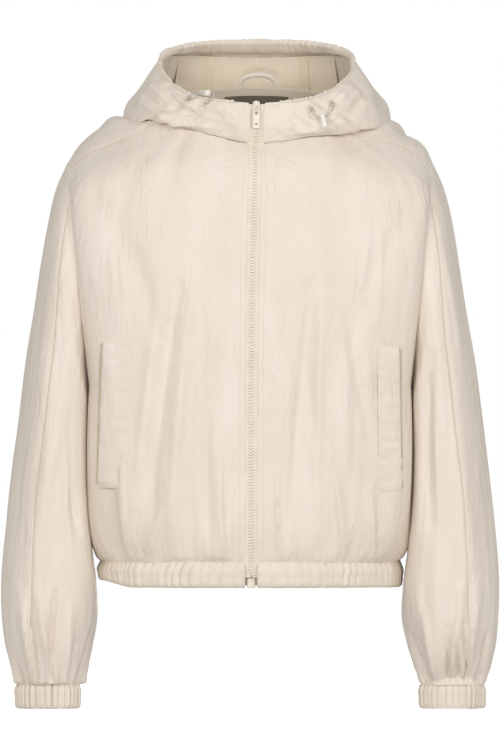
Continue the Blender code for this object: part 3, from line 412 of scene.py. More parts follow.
NYLON = CrinkledNylon("crinkled_nylon", "EFE4D8", "E9DDD0", 0.50, ior=1.53, sheen=0.12,
                      mottle_mm=40.0, grain_mm=1.6, grain_depth_mm=0.10, stretch=(1.0, 1.0, 0.30))
BAND_NYLON = CrinkledNylon("gathered_nylon", "EFE4D8", "E7DBCC", 0.52, ior=1.53, sheen=0.12,
                           mottle_mm=30.0, grain_mm=1.6, grain_depth_mm=0.10, crinkle_depth_mm=0.3,
                           stretch=(1.0, 1.0, 0.35))
MESH = KnittedMesh("knitted_mesh", "F6ECDA", "ECE0CA", 0.75, sheen=0.2, grain_depth_mm=0.35)
LABEL = Braid("label_tape", "77705F", "6C6556", 0.7, sheen=0.15, grain_depth_mm=0.12, strand_mm=2.0,
              slant=0.0)
TAPE = Braid("twill_tape", "F3EADC", "ECE1D1", 0.7, sheen=0.15, grain_depth_mm=0.15, strand_mm=1.5)
SEAM_TAPE = Braid("seam_tape", "EDE0CA", "E5D7BF", 0.65, sheen=0.15, grain_depth_mm=0.1, strand_mm=1.5)
# Pocket bag cloth in the welt mouths, painted darker than that cloth: painted shade for the shadowed
# opening
POCKETING_AND_SHADE = Finish("pocketing", "D6C8B0", "CCBDA4", 0.8, grain_mm=1.2, grain_depth_mm=0.08)
THREAD = Finish("sewing_thread", "E3D5C2", "D9CAB5", 0.6, sheen=0.2, grain_mm=0.6, grain_depth_mm=0.05)
ACETAL = Finish("moulded_acetal", "F3EADC", "ECE1D0", 0.38, ior=1.48, grain_mm=0.7, grain_depth_mm=0.02)
ENAMEL = Finish("enamelled_zinc", "F6EDDC", "EEE3CE", 0.32, ior=1.55, grain_mm=0.5, grain_depth_mm=0.02)
CORD = Braid("braided_cord", "FAF4EA", "F2E9DA", 0.6, sheen=0.25, grain_depth_mm=0.3, strand_mm=1.8)
BARREL = Finish("moulded_barrel", "F6F1E8", "EFE8DC", 0.34, ior=1.49, grain_mm=0.8, grain_depth_mm=0.02)
BACKDROP = Finish("studio_paper", "FFFFFF", "FEFEFE", 0.9, glow=0.9, grain_mm=4.0, grain_depth_mm=0.02)


# The cut of the jacket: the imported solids' forms, fitted closer at neck, shoulders, hood and sleeves
ZIP_OPENING = 0.0080
SEAM_GAP = 0.00008
SHELL_WALL = 0.0010
LINING_WALL = 0.0008
BAND_WALL = 0.0008
TAPE_WIDTH = 0.012
MEASURE_LINES = 121
LONGEST_SHARE = 1.5


@dataclass(frozen=True)
class BodyCut:
    """The body's sections and seam lines; half-body lines are the wearer's left before the lean."""

    hem_seam: float = -0.562
    armhole_top: tuple[float, float] = (0.230, -0.062)
    armhole_foot: tuple[float, float] = (0.202, -0.340)
    armhole_half_depth: float = 0.080
    neck_half_width: float = 0.142
    neck_front_depth: float = 0.100
    neck_back_depth: float = 0.080
    neck_middle_z: float = -0.0015
    neck_tilt: float = 0.0365
    neck_tilt_power: float = 1.15
    seam_neck_turn: float = math.radians(57)
    seam_arm_turn: float = math.radians(18)
    section_power: float = 0.83
    side_power: float = 300.0
    top_pull: float = 0.36
    fit_start: float = 0.55
    front_share: float = 5 / 10
    back_share: float = 6 / 11
    level_rows: int = 14
    panel_rows: int = 19

    leaning = {"height": (-0.594, -0.171, -0.046, 0.013, 0.200),
               "shift": (0.0015, 0.0038, 0.0069, 0.0081, 0.0085)}
    sections = {
        "height": (-0.562, -0.545, -0.521, -0.500, -0.450, -0.400, -0.360, -0.340, -0.250, -0.150, -0.090),
        "half_width": (0.187, 0.1955, 0.2005, 0.2022, 0.2040, 0.2040, 0.2030, 0.202, 0.202, 0.202, 0.202),
        "front": (0.1150, 0.1190, 0.123, 0.1245, 0.126, 0.1275, 0.128, 0.128, 0.128, 0.123, 0.113),
        "back": (0.108, 0.112, 0.114, 0.114, 0.114, 0.114, 0.114, 0.114, 0.115, 0.114, 0.107),
    }
    side_depth = {"height": (-0.562, -0.530, -0.450, -0.340, -0.250, -0.200, -0.155, -0.110),
                  "depth": (0.000, 0.026, 0.050, 0.060, 0.072, 0.0795, 0.0755, 0.0605)}
    row_heights = (-0.562, -0.549, -0.528, -0.485, -0.435, -0.385, -0.350, -0.340, -0.333,
                   -0.315, -0.285, -0.245, -0.200, -0.155, -0.110)
    seam = {"share": (0.25, 0.55, 0.80), "x": (0.147, 0.183, 0.212),
            "y": (-0.050, -0.041, -0.031), "z": (-0.0265, -0.039, -0.053)}
    front_leaving = (0.0, 0.09, 0.55)
    front_arrival = (0.0, 0.72, 0.69)
    back_arrival = {"share": (0.0, 0.22, 0.37, 0.47, 0.545, 0.75, 1.0),
                    "x": (0.0, -0.35, -0.70, -0.88, -1.08, -0.40, 0.0),
                    "y": (-0.35, -0.40, -0.48, -0.50, -0.62, -0.72, -0.72),
                    "z": (0.94, 0.85, 0.48, 0.10, -0.25, -0.66, -0.69)}
    back_crest = {"share": (0.0, 0.25, 0.42, 0.545, 0.70, 0.86, 1.0),
                  "height": (-0.036, -0.030, -0.013, -0.0035, -0.0155, -0.0335, -0.062)}

    # The wearer's left shoulder sits lower than the right one
    low_shoulder = {"drop": 0.0130, "share": 0.68, "reach": 0.15}

    # How the neck seam sits in front: higher on the wearer's right than on the left
    neck_settling = {
        "x": (-0.165, -0.145, -0.129, -0.1156, -0.093, -0.062, -0.034, -0.015, 0.008, 0.030, 0.047,
              0.0706, 0.0956, 0.117, 0.141, 0.156, 0.175),
        "rise": (0.000, 0.003, 0.008, 0.011, 0.012, 0.0145, 0.012, 0.006, 0.000, 0.003, 0.004,
                 0.007, 0.002, -0.003, -0.003, -0.003, 0.000)}
    neck_settling_z: float = -0.020
    neck_settling_reach: float = 0.020

    @property
    def first_turn(self) -> float:
        """The turn round the neck at which the zip opening ends."""
        return math.asin(ZIP_OPENING / self.neck_half_width)

    def lean(self, z: Array) -> Array:
        """How far the front edge has moved to the wearer's left at a height."""
        return smooth(self.leaning["height"], self.leaning["shift"], z)

    def armhole_share(self, z: Array) -> Array:
        """0 at the shoulder, 1 at the underarm."""
        top, foot = self.armhole_top[1], self.armhole_foot[1]
        return np.clip((top - z) / (top - foot), 0.0, 1.0)

    def side_x(self, z: Array) -> Array:
        """Half width of the body at its side seam, and at the armhole above that."""
        below = smooth(self.sections["height"], self.sections["half_width"], z)
        above = self.armhole_top[0] + self.armhole_share(z) * (self.armhole_foot[0] - self.armhole_top[0])
        return np.where(z < self.armhole_foot[1], below, above)

    def neck(self, turn: Array) -> Array:
        """The neck seam at a turn from the front, positive towards the wearer's left."""
        depth = np.where(np.cos(turn) > 0, self.neck_front_depth, self.neck_back_depth)
        rise = self.neck_tilt * signed_power(np.cos(turn), self.neck_tilt_power)
        return stack(self.neck_half_width * np.sin(turn), -depth * np.cos(turn),
                     self.neck_middle_z - rise)

    def settled(self, points: Array) -> Array:
        """Moves points near the front neck seam up or down to where that seam sits."""
        x, y, z = np.moveaxis(points, -1, 0)
        rise = smooth(self.neck_settling["x"], self.neck_settling["rise"], x)
        near = np.exp(-((z - self.neck_settling_z) / self.neck_settling_reach) ** 2)
        return stack(x, y, z + rise * near * ease((-y - 0.01) / 0.04))

    def shoulder(self, share: Array) -> Array:
        """The forward shoulder seam, 0 at the neck and 1 at the armhole."""
        neck = self.neck(self.seam_neck_turn)
        drop = (1 - math.cos(self.seam_arm_turn)) / 2
        end_z = self.armhole_top[1] + drop * (self.armhole_foot[1] - self.armhole_top[1])
        end = (self.side_x(end_z), -self.armhole_half_depth * math.sin(self.seam_arm_turn), end_z)
        shares = (0.0, *self.seam["share"], 1.0)
        return stack(*[smooth(shares, (neck[i], *self.seam[axis], end[i]), share)
                       for i, axis in enumerate("xyz")])

    def top_edge(self, across: Array, face: int) -> tuple[Array, Array]:
        """A panel's upper edge and how much of the lean it takes.

        Args:
            across: 0 at the middle, 1 at the side.
            face: -1 for the front, 1 for the back.

        Returns:
            Points on the neck seam and then the shoulder seam, and their weights.
        """
        neck_share, first = (self.front_share, self.first_turn) if face < 0 else (
            self.back_share, math.pi)
        turn = first + (self.seam_neck_turn - first) * np.clip(across / neck_share, 0, 1)
        share = np.clip((across - neck_share) / (1 - neck_share), 0, 1)
        edge = np.where((across < neck_share)[..., None], self.neck(turn), self.shoulder(share))
        return edge, 1 - share**2

    def torso(self, across: Array, z: Array, face: int) -> Array:
        """A level section of the front (-1) or the back (1)."""
        turn = across * math.pi / 2
        start = ZIP_OPENING if face < 0 else 0.0
        x = start + (self.side_x(z) - start) * signed_power(np.sin(turn), self.section_power)
        deep = smooth(self.sections["height"], self.sections["front" if face < 0 else "back"], z)
        soft = smooth(self.side_depth["height"], self.side_depth["depth"], z)
        share = self.armhole_share(z)
        armhole = self.armhole_half_depth * 2 * np.sqrt(share * (1 - share))
        round_off = (armhole - soft) * np.abs(np.sin(turn)) ** self.side_power
        y = soft + (deep - soft) * signed_power(np.cos(turn), self.section_power) + round_off
        return stack(x, face * (SEAM_GAP + y), z)

    def rows(self, up: Array) -> tuple[Array, Array]:
        """Splits a panel's height share into a level's height and a share over the shoulder."""
        row = up * self.panel_rows
        z = np.interp(row, np.arange(self.level_rows + 1), self.row_heights)
        over = (row - self.level_rows) / (self.panel_rows - self.level_rows)
        return z, np.clip(over, 0.0, 1.0)

    def row_share(self, z: Array) -> Array:
        """The height share of a level below the shoulder."""
        return np.interp(z, self.row_heights, np.arange(len(self.row_heights))) / self.panel_rows

    def over_armhole(self, over: Array, face: int) -> Array:
        """The armhole above the levels, from a face to the shoulder seam."""
        first = -face * math.acos(1 - 2 * float(self.armhole_share(self.row_heights[-1])))
        turn = first + (self.seam_arm_turn - first) * over
        z = self.armhole_top[1] + (1 - np.cos(turn)) / 2 * (self.armhole_foot[1] - self.armhole_top[1])
        return stack(self.side_x(z), -self.armhole_half_depth * np.sin(turn) + face * SEAM_GAP, z)

    def column(self, across: Array, z: Array, over: Array, face: int) -> Array:
        """A point of the front or back: on a level, or on a curve over the shoulder."""
        low = self.torso(across, z, face)
        top, _ = self.top_edge(across, face)
        reach = np.linalg.norm(top - low, axis=-1, keepdims=True)
        if face < 0:
            second = low + (top - low)[..., 2:] * np.array(self.front_leaving)
            third = top - self.top_pull * reach * np.array(self.front_arrival)
        else:
            arrival = stack(*[smooth(self.back_arrival["share"], self.back_arrival[axis], across)
                              for axis in "xyz"])
            third = top - self.top_pull * reach * arrival
            crest = smooth(self.back_crest["share"], self.back_crest["height"], across)
            level = (crest - 0.125 * (low[..., 2] + top[..., 2]) - 0.375 * third[..., 2]) / 0.375
            second = stack(low[..., 0], low[..., 1], level)
        share = (over * (1 - SEAM_GAP / reach[..., 0]))[..., None]
        return np.where((over > 0)[..., None], bezier(share, low, second, third, top), low)

    def panel(self, across: Array, up: Array, face: int, side: Array) -> Array:
        """A point of a body panel on the given side, with the lean."""
        z, over = self.rows(up)
        points = self.column(across, z, over, face)
        miss = self.over_armhole(over, face) - self.column(np.ones_like(across), z, over, face)
        fit = np.where(over > 0, ease((across - self.fit_start) / (1 - self.fit_start)), 0.0)
        points = points + miss * fit[..., None]
        if face > 0:
            near = np.exp(-((across - self.low_shoulder["share"]) / self.low_shoulder["reach"]) ** 2)
            drop = np.where(side > 0, self.low_shoulder["drop"], 0.0) * near * 4 * over * (1 - over)
            points = points - stack(0 * drop, 0 * drop, drop)
        _, weight_top = self.top_edge(across, face)
        weight = 1 - across**2 + (weight_top - 1 + across**2) * ease(over)
        x = side * points[..., 0] + self.lean(points[..., 2]) * weight
        return self.settled(stack(x, points[..., 1], points[..., 2]))

    def front(self, side: Side) -> Surface:
        """One front from the zip (0) to the side seam (1), and from the hem (0) to its top (1)."""
        def surface(across: Array, up: Array) -> Array:
            return self.panel(across, up, -1, float(side.value))
        return surface

    def back(self, across: Array, up: Array) -> Array:
        """The back from side seam (0) to side seam (1), over the shoulders to the front seam."""
        offset = 2 * across - 1
        return self.panel(np.abs(offset), up, 1, np.where(offset < 0, -1.0, 1.0))

    def hem_turn(self, across: Array) -> Array:
        """The turn of a place on the hem, from the zip round the back to the zip."""
        start = math.asin((ZIP_OPENING / self.sections["half_width"][0]) ** (1 / self.section_power))
        return start + (2 * math.pi - 2 * start) * across

    def hem_line(self, turn: Array, z: Array, inset: Array) -> Array:
        """A point of the hem band's level line, moved in by an inset."""
        width = self.sections["half_width"][0] - inset
        deep = np.where(np.cos(turn) > 0, self.sections["front"][0], self.sections["back"][0]) - inset
        x = width * signed_power(np.sin(turn), self.section_power)
        y = -deep * signed_power(np.cos(turn), self.section_power)
        return stack(x + self.lean(z) * (1 - (x / width) ** 2), y, z)


@dataclass(frozen=True)
class SleeveCut:
    """A sleeve's rings from armhole to cuff, on the wearer's left."""

    cuff_foot: float = -0.746
    touch_foot: float = -0.540
    squaring: float = 0.70
    rings = {
        "outer_x": (0.230, 0.243, 0.253, 0.262, 0.271, 0.282, 0.291, 0.299, 0.306, 0.311,
                    0.3125, 0.3095, 0.302, 0.2935),
        "outer_z": (-0.062, -0.095, -0.135, -0.185, -0.245, -0.310, -0.380, -0.445, -0.505,
                    -0.560, -0.610, -0.655, -0.690, -0.715),
        "inner_x": (0.202, 0.2020, 0.2020, 0.2025, 0.2030, 0.2032, 0.2028, 0.2012, 0.1980, 0.1925,
                    0.191, 0.198, 0.206, 0.2135),
        "inner_z": (-0.340, -0.350, -0.362, -0.378, -0.400, -0.428, -0.462, -0.502, -0.545,
                    -0.588, -0.628, -0.664, -0.692, -0.715),
        "half_depth": (0.080, 0.084, 0.087, 0.088, 0.087, 0.086, 0.084, 0.081, 0.077, 0.073,
                       0.068, 0.060, 0.047, 0.032),
        "middle_y": (0.000, 0.001, 0.002, 0.003, 0.003, 0.002, 0.000, -0.003, -0.007, -0.012,
                     -0.017, -0.021, -0.024, -0.026),
        "seam_turn": (45, 56, 64, 70, 73, 74, 73, 71, 70, 69, 68, 67, 66, 66),
    }

    def ring(self, name: str, along: Array) -> Array:
        """Reads a column of the rings at a share of the length."""
        values = self.rings[name]
        return smooth(np.arange(len(values)), values, along * (len(values) - 1))

    def point(self, turn: Array, along: Array, side: Side) -> Array:
        """A point: turn 0 at the outer edge, a quarter at the front, half at the underarm."""
        share = (1 - np.cos(turn)) / 2
        outer_x, outer_z = self.ring("outer_x", along), self.ring("outer_z", along)
        inner_x, inner_z = self.ring("inner_x", along), self.ring("inner_z", along)
        touching = BODY.side_x(inner_z)
        inner_x = np.where(inner_z > self.touch_foot, np.maximum(inner_x, touching), inner_x)
        x = outer_x + share * (inner_x - outer_x)
        z = outer_z + share * (inner_z - outer_z)
        power = 1 - self.squaring * ease(along / 0.18) * ease((0.85 - along) / 0.3)
        depth = np.where(np.cos(turn) < 0, signed_power(np.sin(turn), power), np.sin(turn))
        y = self.ring("middle_y", along) - self.ring("half_depth", along) * depth
        return stack(side.value * (x + SEAM_GAP), y, z)

    def turn(self, across: Array, along: Array, is_front: bool) -> Array:
        """The turn of a panel's column, between its outer seam and the underarm."""
        seam = np.radians(self.ring("seam_turn", along))
        gap = SEAM_GAP / self.ring("half_depth", along)
        first, last = (seam + gap, math.pi - gap) if is_front else (
            math.pi + gap, 2 * math.pi + seam - gap)
        return first + (last - first) * across


@dataclass(frozen=True)
class HoodCut:
    """The lowered hood: sections by turn from the front, from the neck seam to the rim."""

    body: BodyCut
    standoff: float = 0.0008
    rim_half_width: float = 0.122
    rim_half_depth: float = 0.108
    rim_centre_y: float = 0.004
    rim_power: float = 0.86
    front_columns: int = 5
    columns: int = 34
    seam_column: int = 15

    sections = {
        "turn": (0, 30, 60, 90, 120, 150, 180, 210),
        "a_out": (0.004, 0.007, 0.013, 0.0225, 0.042, 0.058, 0.056, 0.058),
        "a_up": (0.017, 0.014, 0.006, -0.0095, -0.011, -0.098, -0.130, -0.098),
        "b_out": (0.0045, 0.0075, 0.0135, 0.0195, 0.0395, 0.079, 0.079, 0.079),
        "b_up": (0.0217, 0.018, 0.0125, 0.003, -0.005, -0.134, -0.174, -0.134),
        "c_out": (0.0045, 0.007, 0.0115, 0.0122, 0.032, 0.102, 0.104, 0.102),
        "c_up": (0.0265, 0.0245, 0.023, 0.019, 0.006, -0.098, -0.132, -0.098),
        "d_out": (0.004, 0.006, 0.006, 0.001, 0.018, 0.105, 0.109, 0.105),
        "d_up": (0.0361, 0.036, 0.039, 0.039, 0.029, -0.012, -0.036, -0.012),
    }
    path_shares = (0.0, 0.335, 0.43, 0.525, 0.715, 1.0)
    rim_heights = {
        "turn": (0, 30, 45, 60, 75, 90, 105, 120, 135, 150, 180),
        "height": (0.0125, 0.019, 0.028, 0.041, 0.055, 0.068, 0.078, 0.084, 0.0895, 0.0935, 0.0962)}

    def rim(self, turn: Array) -> Array:
        """The edge of the face opening, before the lean."""
        x = self.rim_half_width * signed_power(np.sin(turn), self.rim_power)
        y = self.rim_centre_y - self.rim_half_depth * np.cos(turn)
        return stack(x, y, smooth(self.rim_heights["turn"], self.rim_heights["height"],
                                  np.degrees(np.abs(turn))))

    def point(self, turn: Array, along: Array) -> Array:
        """A point from the neck seam (0) down into the pouch and up to the rim (1)."""
        turn = (turn + math.pi) % (2 * math.pi) - math.pi
        degrees = np.degrees(np.abs(turn))
        neck = self.body.neck(turn)
        out = self.standoff * ease((degrees - 30) / 30)
        points = [neck + stack(out * np.sin(turn), -out * np.cos(turn), 2 * SEAM_GAP)]
        for name in "abcd":
            out = smooth(self.sections["turn"], self.sections[name + "_out"], degrees)
            rise = smooth(self.sections["turn"], self.sections[name + "_up"], degrees)
            points.append(neck + stack(out * np.sin(turn), -out * np.cos(turn), rise))
        points.append(self.rim(turn))
        knots, points = np.array(self.path_shares), np.stack(points)
        slopes = np.gradient(points, knots, axis=0)
        along = np.broadcast_to(along, turn.shape)
        left = np.clip(np.searchsorted(knots, along, side="right") - 1, 0, len(knots) - 2)
        step = (knots[left + 1] - knots[left])[..., None]
        t = ((along - knots[left])[..., None]) / step
        cell = np.indices(left.shape)
        path = ((2 * t**3 - 3 * t**2 + 1) * points[(left, *cell)]
                + (t**3 - 2 * t**2 + t) * step * slopes[(left, *cell)]
                + (3 * t**2 - 2 * t**3) * points[(left + 1, *cell)]
                + (t**3 - t**2) * step * slopes[(left + 1, *cell)])
        top = self.body.leaning["height"][-1]
        shift = self.body.lean(neck[..., 2] + np.clip(along, 0, 1) * (top - neck[..., 2]))
        return self.body.settled(stack(path[..., 0] + shift, path[..., 1], path[..., 2]))

    def turn(self, column: Array) -> Array:
        """The turn of a column line, counted from the zip round to the zip."""
        first, seam, whole = self.body.first_turn, self.body.seam_neck_turn, 2 * math.pi
        places = (0, self.front_columns, self.columns / 2, self.columns - self.front_columns, self.columns)
        return np.interp(column, places, (first, seam, math.pi, whole - seam, whole - first))


BODY = BodyCut()
SLEEVE = SleeveCut()
HOOD = HoodCut(BODY)


# Making pieces
def normals_of(surface: Surface, across: Array, up: Array) -> Array:
    """Unit normals of a surface from small steps on it."""
    step = 1e-4
    sideways = surface(across + step, up) - surface(across - step, up)
    upwards = surface(across, up + step) - surface(across, up - step)
    normals = np.cross(sideways, upwards)
    return normals / np.maximum(np.linalg.norm(normals, axis=-1, keepdims=True), 1e-12)


def deselect() -> None:
    """Leaves nothing selected, so that operators reach only the new piece."""
    bpy.ops.object.select_all(action="DESELECT")


def dress(piece: bpy.types.Object, finish: Finish) -> bpy.types.Object:
    """Gives a piece its material, lets it ride on the jacket and hands it back."""
    piece.data.materials.clear()
    piece.data.materials.append(finish.material())
    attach(piece, JACKET)
    LOG.info("%s: %s", piece.name, finish.name)
    return piece


def sheet(name: str, surface: Surface, cells: tuple[int, int], wall: float, outward: int,
          size: tuple[float, float], is_ring: bool = False) -> bpy.types.Object:
    """Lays a grid on a surface and gives it the thickness of cloth, laid inwards.

    Args:
        name: The piece's name.
        surface: Points by shares across and up.
        cells: Cells across and up.
        wall: Thickness in metres, or 0 to leave the grid open.
        outward: -1 where the surface's own normals point inwards.
        size: Width and length of its map, in metres.
        is_ring: Whether the first and last columns are one.

    Returns:
        The new piece.
    """
    deselect()
    bpy.ops.mesh.primitive_grid_add(x_subdivisions=cells[0], y_subdivisions=cells[1], size=1.0)
    piece = bpy.context.object
    piece.name = piece.data.name = name
    mesh = piece.data
    flat = np.empty(len(mesh.vertices) * 3)
    mesh.vertices.foreach_get("co", flat)
    shares = flat.reshape(-1, 3)[:, :2] + 0.5
    corner = np.empty(len(mesh.loops), dtype=np.int32)
    mesh.loops.foreach_get("vertex_index", corner)
    mesh.uv_layers.active.data.foreach_set("uv", (shares[corner] * np.array(size)).ravel())
    mesh.vertices.foreach_set("co", surface(shares[:, 0], shares[:, 1]).ravel())
    if outward < 0:
        mesh.flip_normals()
    bpy.ops.object.mode_set(mode="EDIT")
    bpy.ops.mesh.select_all(action="SELECT")
    if is_ring:
        bpy.ops.mesh.remove_doubles(threshold=1e-6)
    bpy.ops.object.mode_set(mode="OBJECT")
    if wall:
        solidify = piece.modifiers.new("cloth", "SOLIDIFY")
        solidify.thickness = wall
        solidify.offset = -1.0
        bpy.ops.object.modifier_apply(modifier=solidify.name)
    bpy.ops.object.shade_smooth_by_angle(angle=math.radians(60))
    return piece


def repeated(name: str, base: bpy.types.Object, places: Sequence[Matrix]) -> bpy.types.Object:
    """Copies a small piece to many places as one mesh and removes the first one.

    Args:
        name: The new piece's name.
        base: The piece modelled once.
        places: Where each copy goes.

    Returns:
        The piece with all the copies.
    """
    corners = np.array([(*vertex.co, 1.0) for vertex in base.data.vertices])
    faces = [tuple(face.vertices) for face in base.data.polygons]
    moved = np.concatenate([(corners @ np.array(place).T)[:, :3] for place in places])
    count = len(corners)
    mesh = bpy.data.meshes.new(name)
    mesh.from_pydata(moved.tolist(), [], [tuple(i + count * n for i in face)
                                          for n in range(len(places)) for face in faces])
    mesh.shade_smooth()
    piece = bpy.data.objects.new(name, mesh)
    bpy.context.collection.objects.link(piece)
    bpy.data.objects.remove(base)
    return piece


def line_frames(points: Array, normals: Array, pitch: float) -> list[Matrix]:
    """Places at even steps along a line, X along it and Z away from the surface.

    Args:
        points: The line's points.
        normals: The surface's normals at those points.
        pitch: Distance of the places, in metres.

    Returns:
        One placing matrix for each step.
    """
    reach = np.concatenate([[0.0], np.cumsum(np.linalg.norm(np.diff(points, axis=0), axis=1))])
    frames = []
    for at in np.arange(pitch / 2, reach[-1], pitch):
        place, ahead, out = [Vector([np.interp(at + shift, reach, row[:, i]) for i in range(3)])
                             for row, shift in ((points, 0.0), (points, pitch / 3), (normals, 0.0))]
        along = (ahead - place).normalized()
        across = out.cross(along).normalized()
        turned = Matrix((along, across, along.cross(across))).transposed().to_4x4()
        frames.append(Matrix.Translation(place) @ turned)
    return frames


@dataclass(frozen=True)
class Stitching:
    """Lockstitch: short threads that lie on the cloth and dip in at their ends."""

    length: float = 0.0026
    thickness: float = 0.00042
    pitch: float = 0.0034
    lift: float = 0.00012

    def row(self, name: str, surface: Surface, line: Array, outward: int) -> bpy.types.Object:
        """Sews along a line on a surface.

        Args:
            name: The row's name.
            surface: The sewn surface.
            line: Shares across and up, one pair to a row.
            outward: -1 where the surface's own normals point inwards.

        Returns:
            The row of stitches.
        """
        points = surface(line[:, 0], line[:, 1])
        normals = outward * normals_of(surface, line[:, 0], line[:, 1])
        deselect()
        bpy.ops.mesh.primitive_uv_sphere_add(segments=6, ring_count=4, radius=0.5)
        stitch = bpy.context.object
        turn = Matrix.Rotation(math.pi / 2, 4, "Y")
        stitch.data.transform(Matrix.Diagonal((self.length, self.thickness, self.thickness, 1.0)) @ turn)
        piece = repeated(name, stitch, line_frames(points + self.lift * normals, normals, self.pitch))
        return dress(piece, THREAD)


STITCHES = Stitching()


def share_line(start: tuple[float, float], end: tuple[float, float], count: int = 60) -> Array:
    """Shares across and up along a straight line between two places."""
    return np.linspace(start, end, count)


class Cloth:
    """A surface whose shares are evened out to run with its lengths, for even cells and seams."""

    marks = 401
    seam_half_width = 0.0020
    puckers = Ripple(0.00042, 0.0065, 1.0, 40)
    pucker_start = 0.003
    pucker_reach = 0.008

    def __init__(self, base: Surface, outward: int, middle: tuple[float, float] = (0.5, 0.5)) -> None:
        """Measures the surface along its middle lines.

        Args:
            base: Points by shares across and up.
            outward: -1 where the surface's own normals point inwards.
            middle: Shares of the column and the row that are measured.
        """
        self.base = base
        self.outward = outward
        self.shares = np.linspace(0, 1, self.marks)
        level, upright = np.full(self.marks, middle[1]), np.full(self.marks, middle[0])
        self.across_reach = self.reach(base(self.shares, level))
        self.up_reach = self.reach(base(upright, self.shares))
        self.width, self.length = float(self.across_reach[-1]), float(self.up_reach[-1])

    @staticmethod
    def reach(points: Array) -> Array:
        """The way along a line to each of its points."""
        return np.concatenate([[0.0], np.cumsum(np.linalg.norm(np.diff(points, axis=0), axis=1))])

    def point(self, across: Array, up: Array) -> Array:
        """A point by even shares; shares just beyond the edges go on past them."""
        over, above = across - np.clip(across, 0, 1), up - np.clip(up, 0, 1)
        column = np.interp(across * self.width, self.across_reach, self.shares) + over
        row = np.interp(up * self.length, self.up_reach, self.shares) + above
        return self.base(column, row)

    def edge_roll(self, across: Array, up: Array, sides: str, depth: float = 0.0011) -> Array:
        """Height of seams rolled in along some edges, with puckers beside them.

        Args:
            across: Shares across.
            up: Shares up.
            sides: Letters of the sewn edges: l and r for 0 and 1 across, b and t for 0 and 1 up.
            depth: How deep the seam lies.

        Returns:
            Heights to add.
        """
        away = {"l": across * self.width, "r": (1 - across) * self.width,
                "b": up * self.length, "t": (1 - up) * self.length}
        total = np.zeros_like(across)
        for number, side in enumerate(sides):
            run = up * self.length if side in "lr" else across * self.width
            total = total - depth * np.exp(-(away[side] / self.seam_half_width) ** 2)
            pucker = self.puckers.rise(run, 0 * run, number)
            total = total + pucker * np.exp(-away[side] / self.pucker_reach) * ease(
                away[side] / self.pucker_start)
        return total

    def raised(self, height: Callable[[Array, Array, Array], Array]) -> Surface:
        """The surface lifted along its normals by heights from shares and points."""
        def lifted(across: Array, up: Array) -> Array:
            points = self.point(across, up)
            rise = self.outward * height(across, up, points)
            return points + rise[..., None] * normals_of(self.point, across, up)
        return lifted

    def laid(self, name: str, surface: Surface, cells: tuple[int, int], wall: float, finish: Finish,
             is_ring: bool = False) -> bpy.types.Object:
        """Lays the cloth on its raised surface, a wall thick, and dresses it."""
        size = (self.width, self.length)
        return dress(sheet(name, surface, cells, wall, self.outward, size, is_ring), finish)


def declare_sheet(surface: Surface) -> None:
    """Measures a cloth piece's widths and lengths and, unless it is a tape, the areas of its cells; nothing
    is stated or kept.
    """
    shares = np.linspace(0, 1, MEASURE_LINES)
    grid = surface(*np.meshgrid(shares, shares, indexing="ij"))
    across, up = np.diff(grid, axis=0), np.diff(grid, axis=1)
    widths = np.linalg.norm(across, axis=-1).sum(axis=0)
    lengths = np.linalg.norm(up, axis=-1).sum(axis=1)
    width, length = [float(min(runs.max(), LONGEST_SHARE * runs.mean())) for runs in (widths, lengths)]
    if min(width, length) < TAPE_WIDTH:
        return
    cells = np.cross(across[:, :-1], up[:-1])


def gather_fade(away: Array, reach: float) -> Array:
    """How strong gathers still are at a distance from their seam."""
    return np.exp(-np.maximum(away, 0.0) / reach)


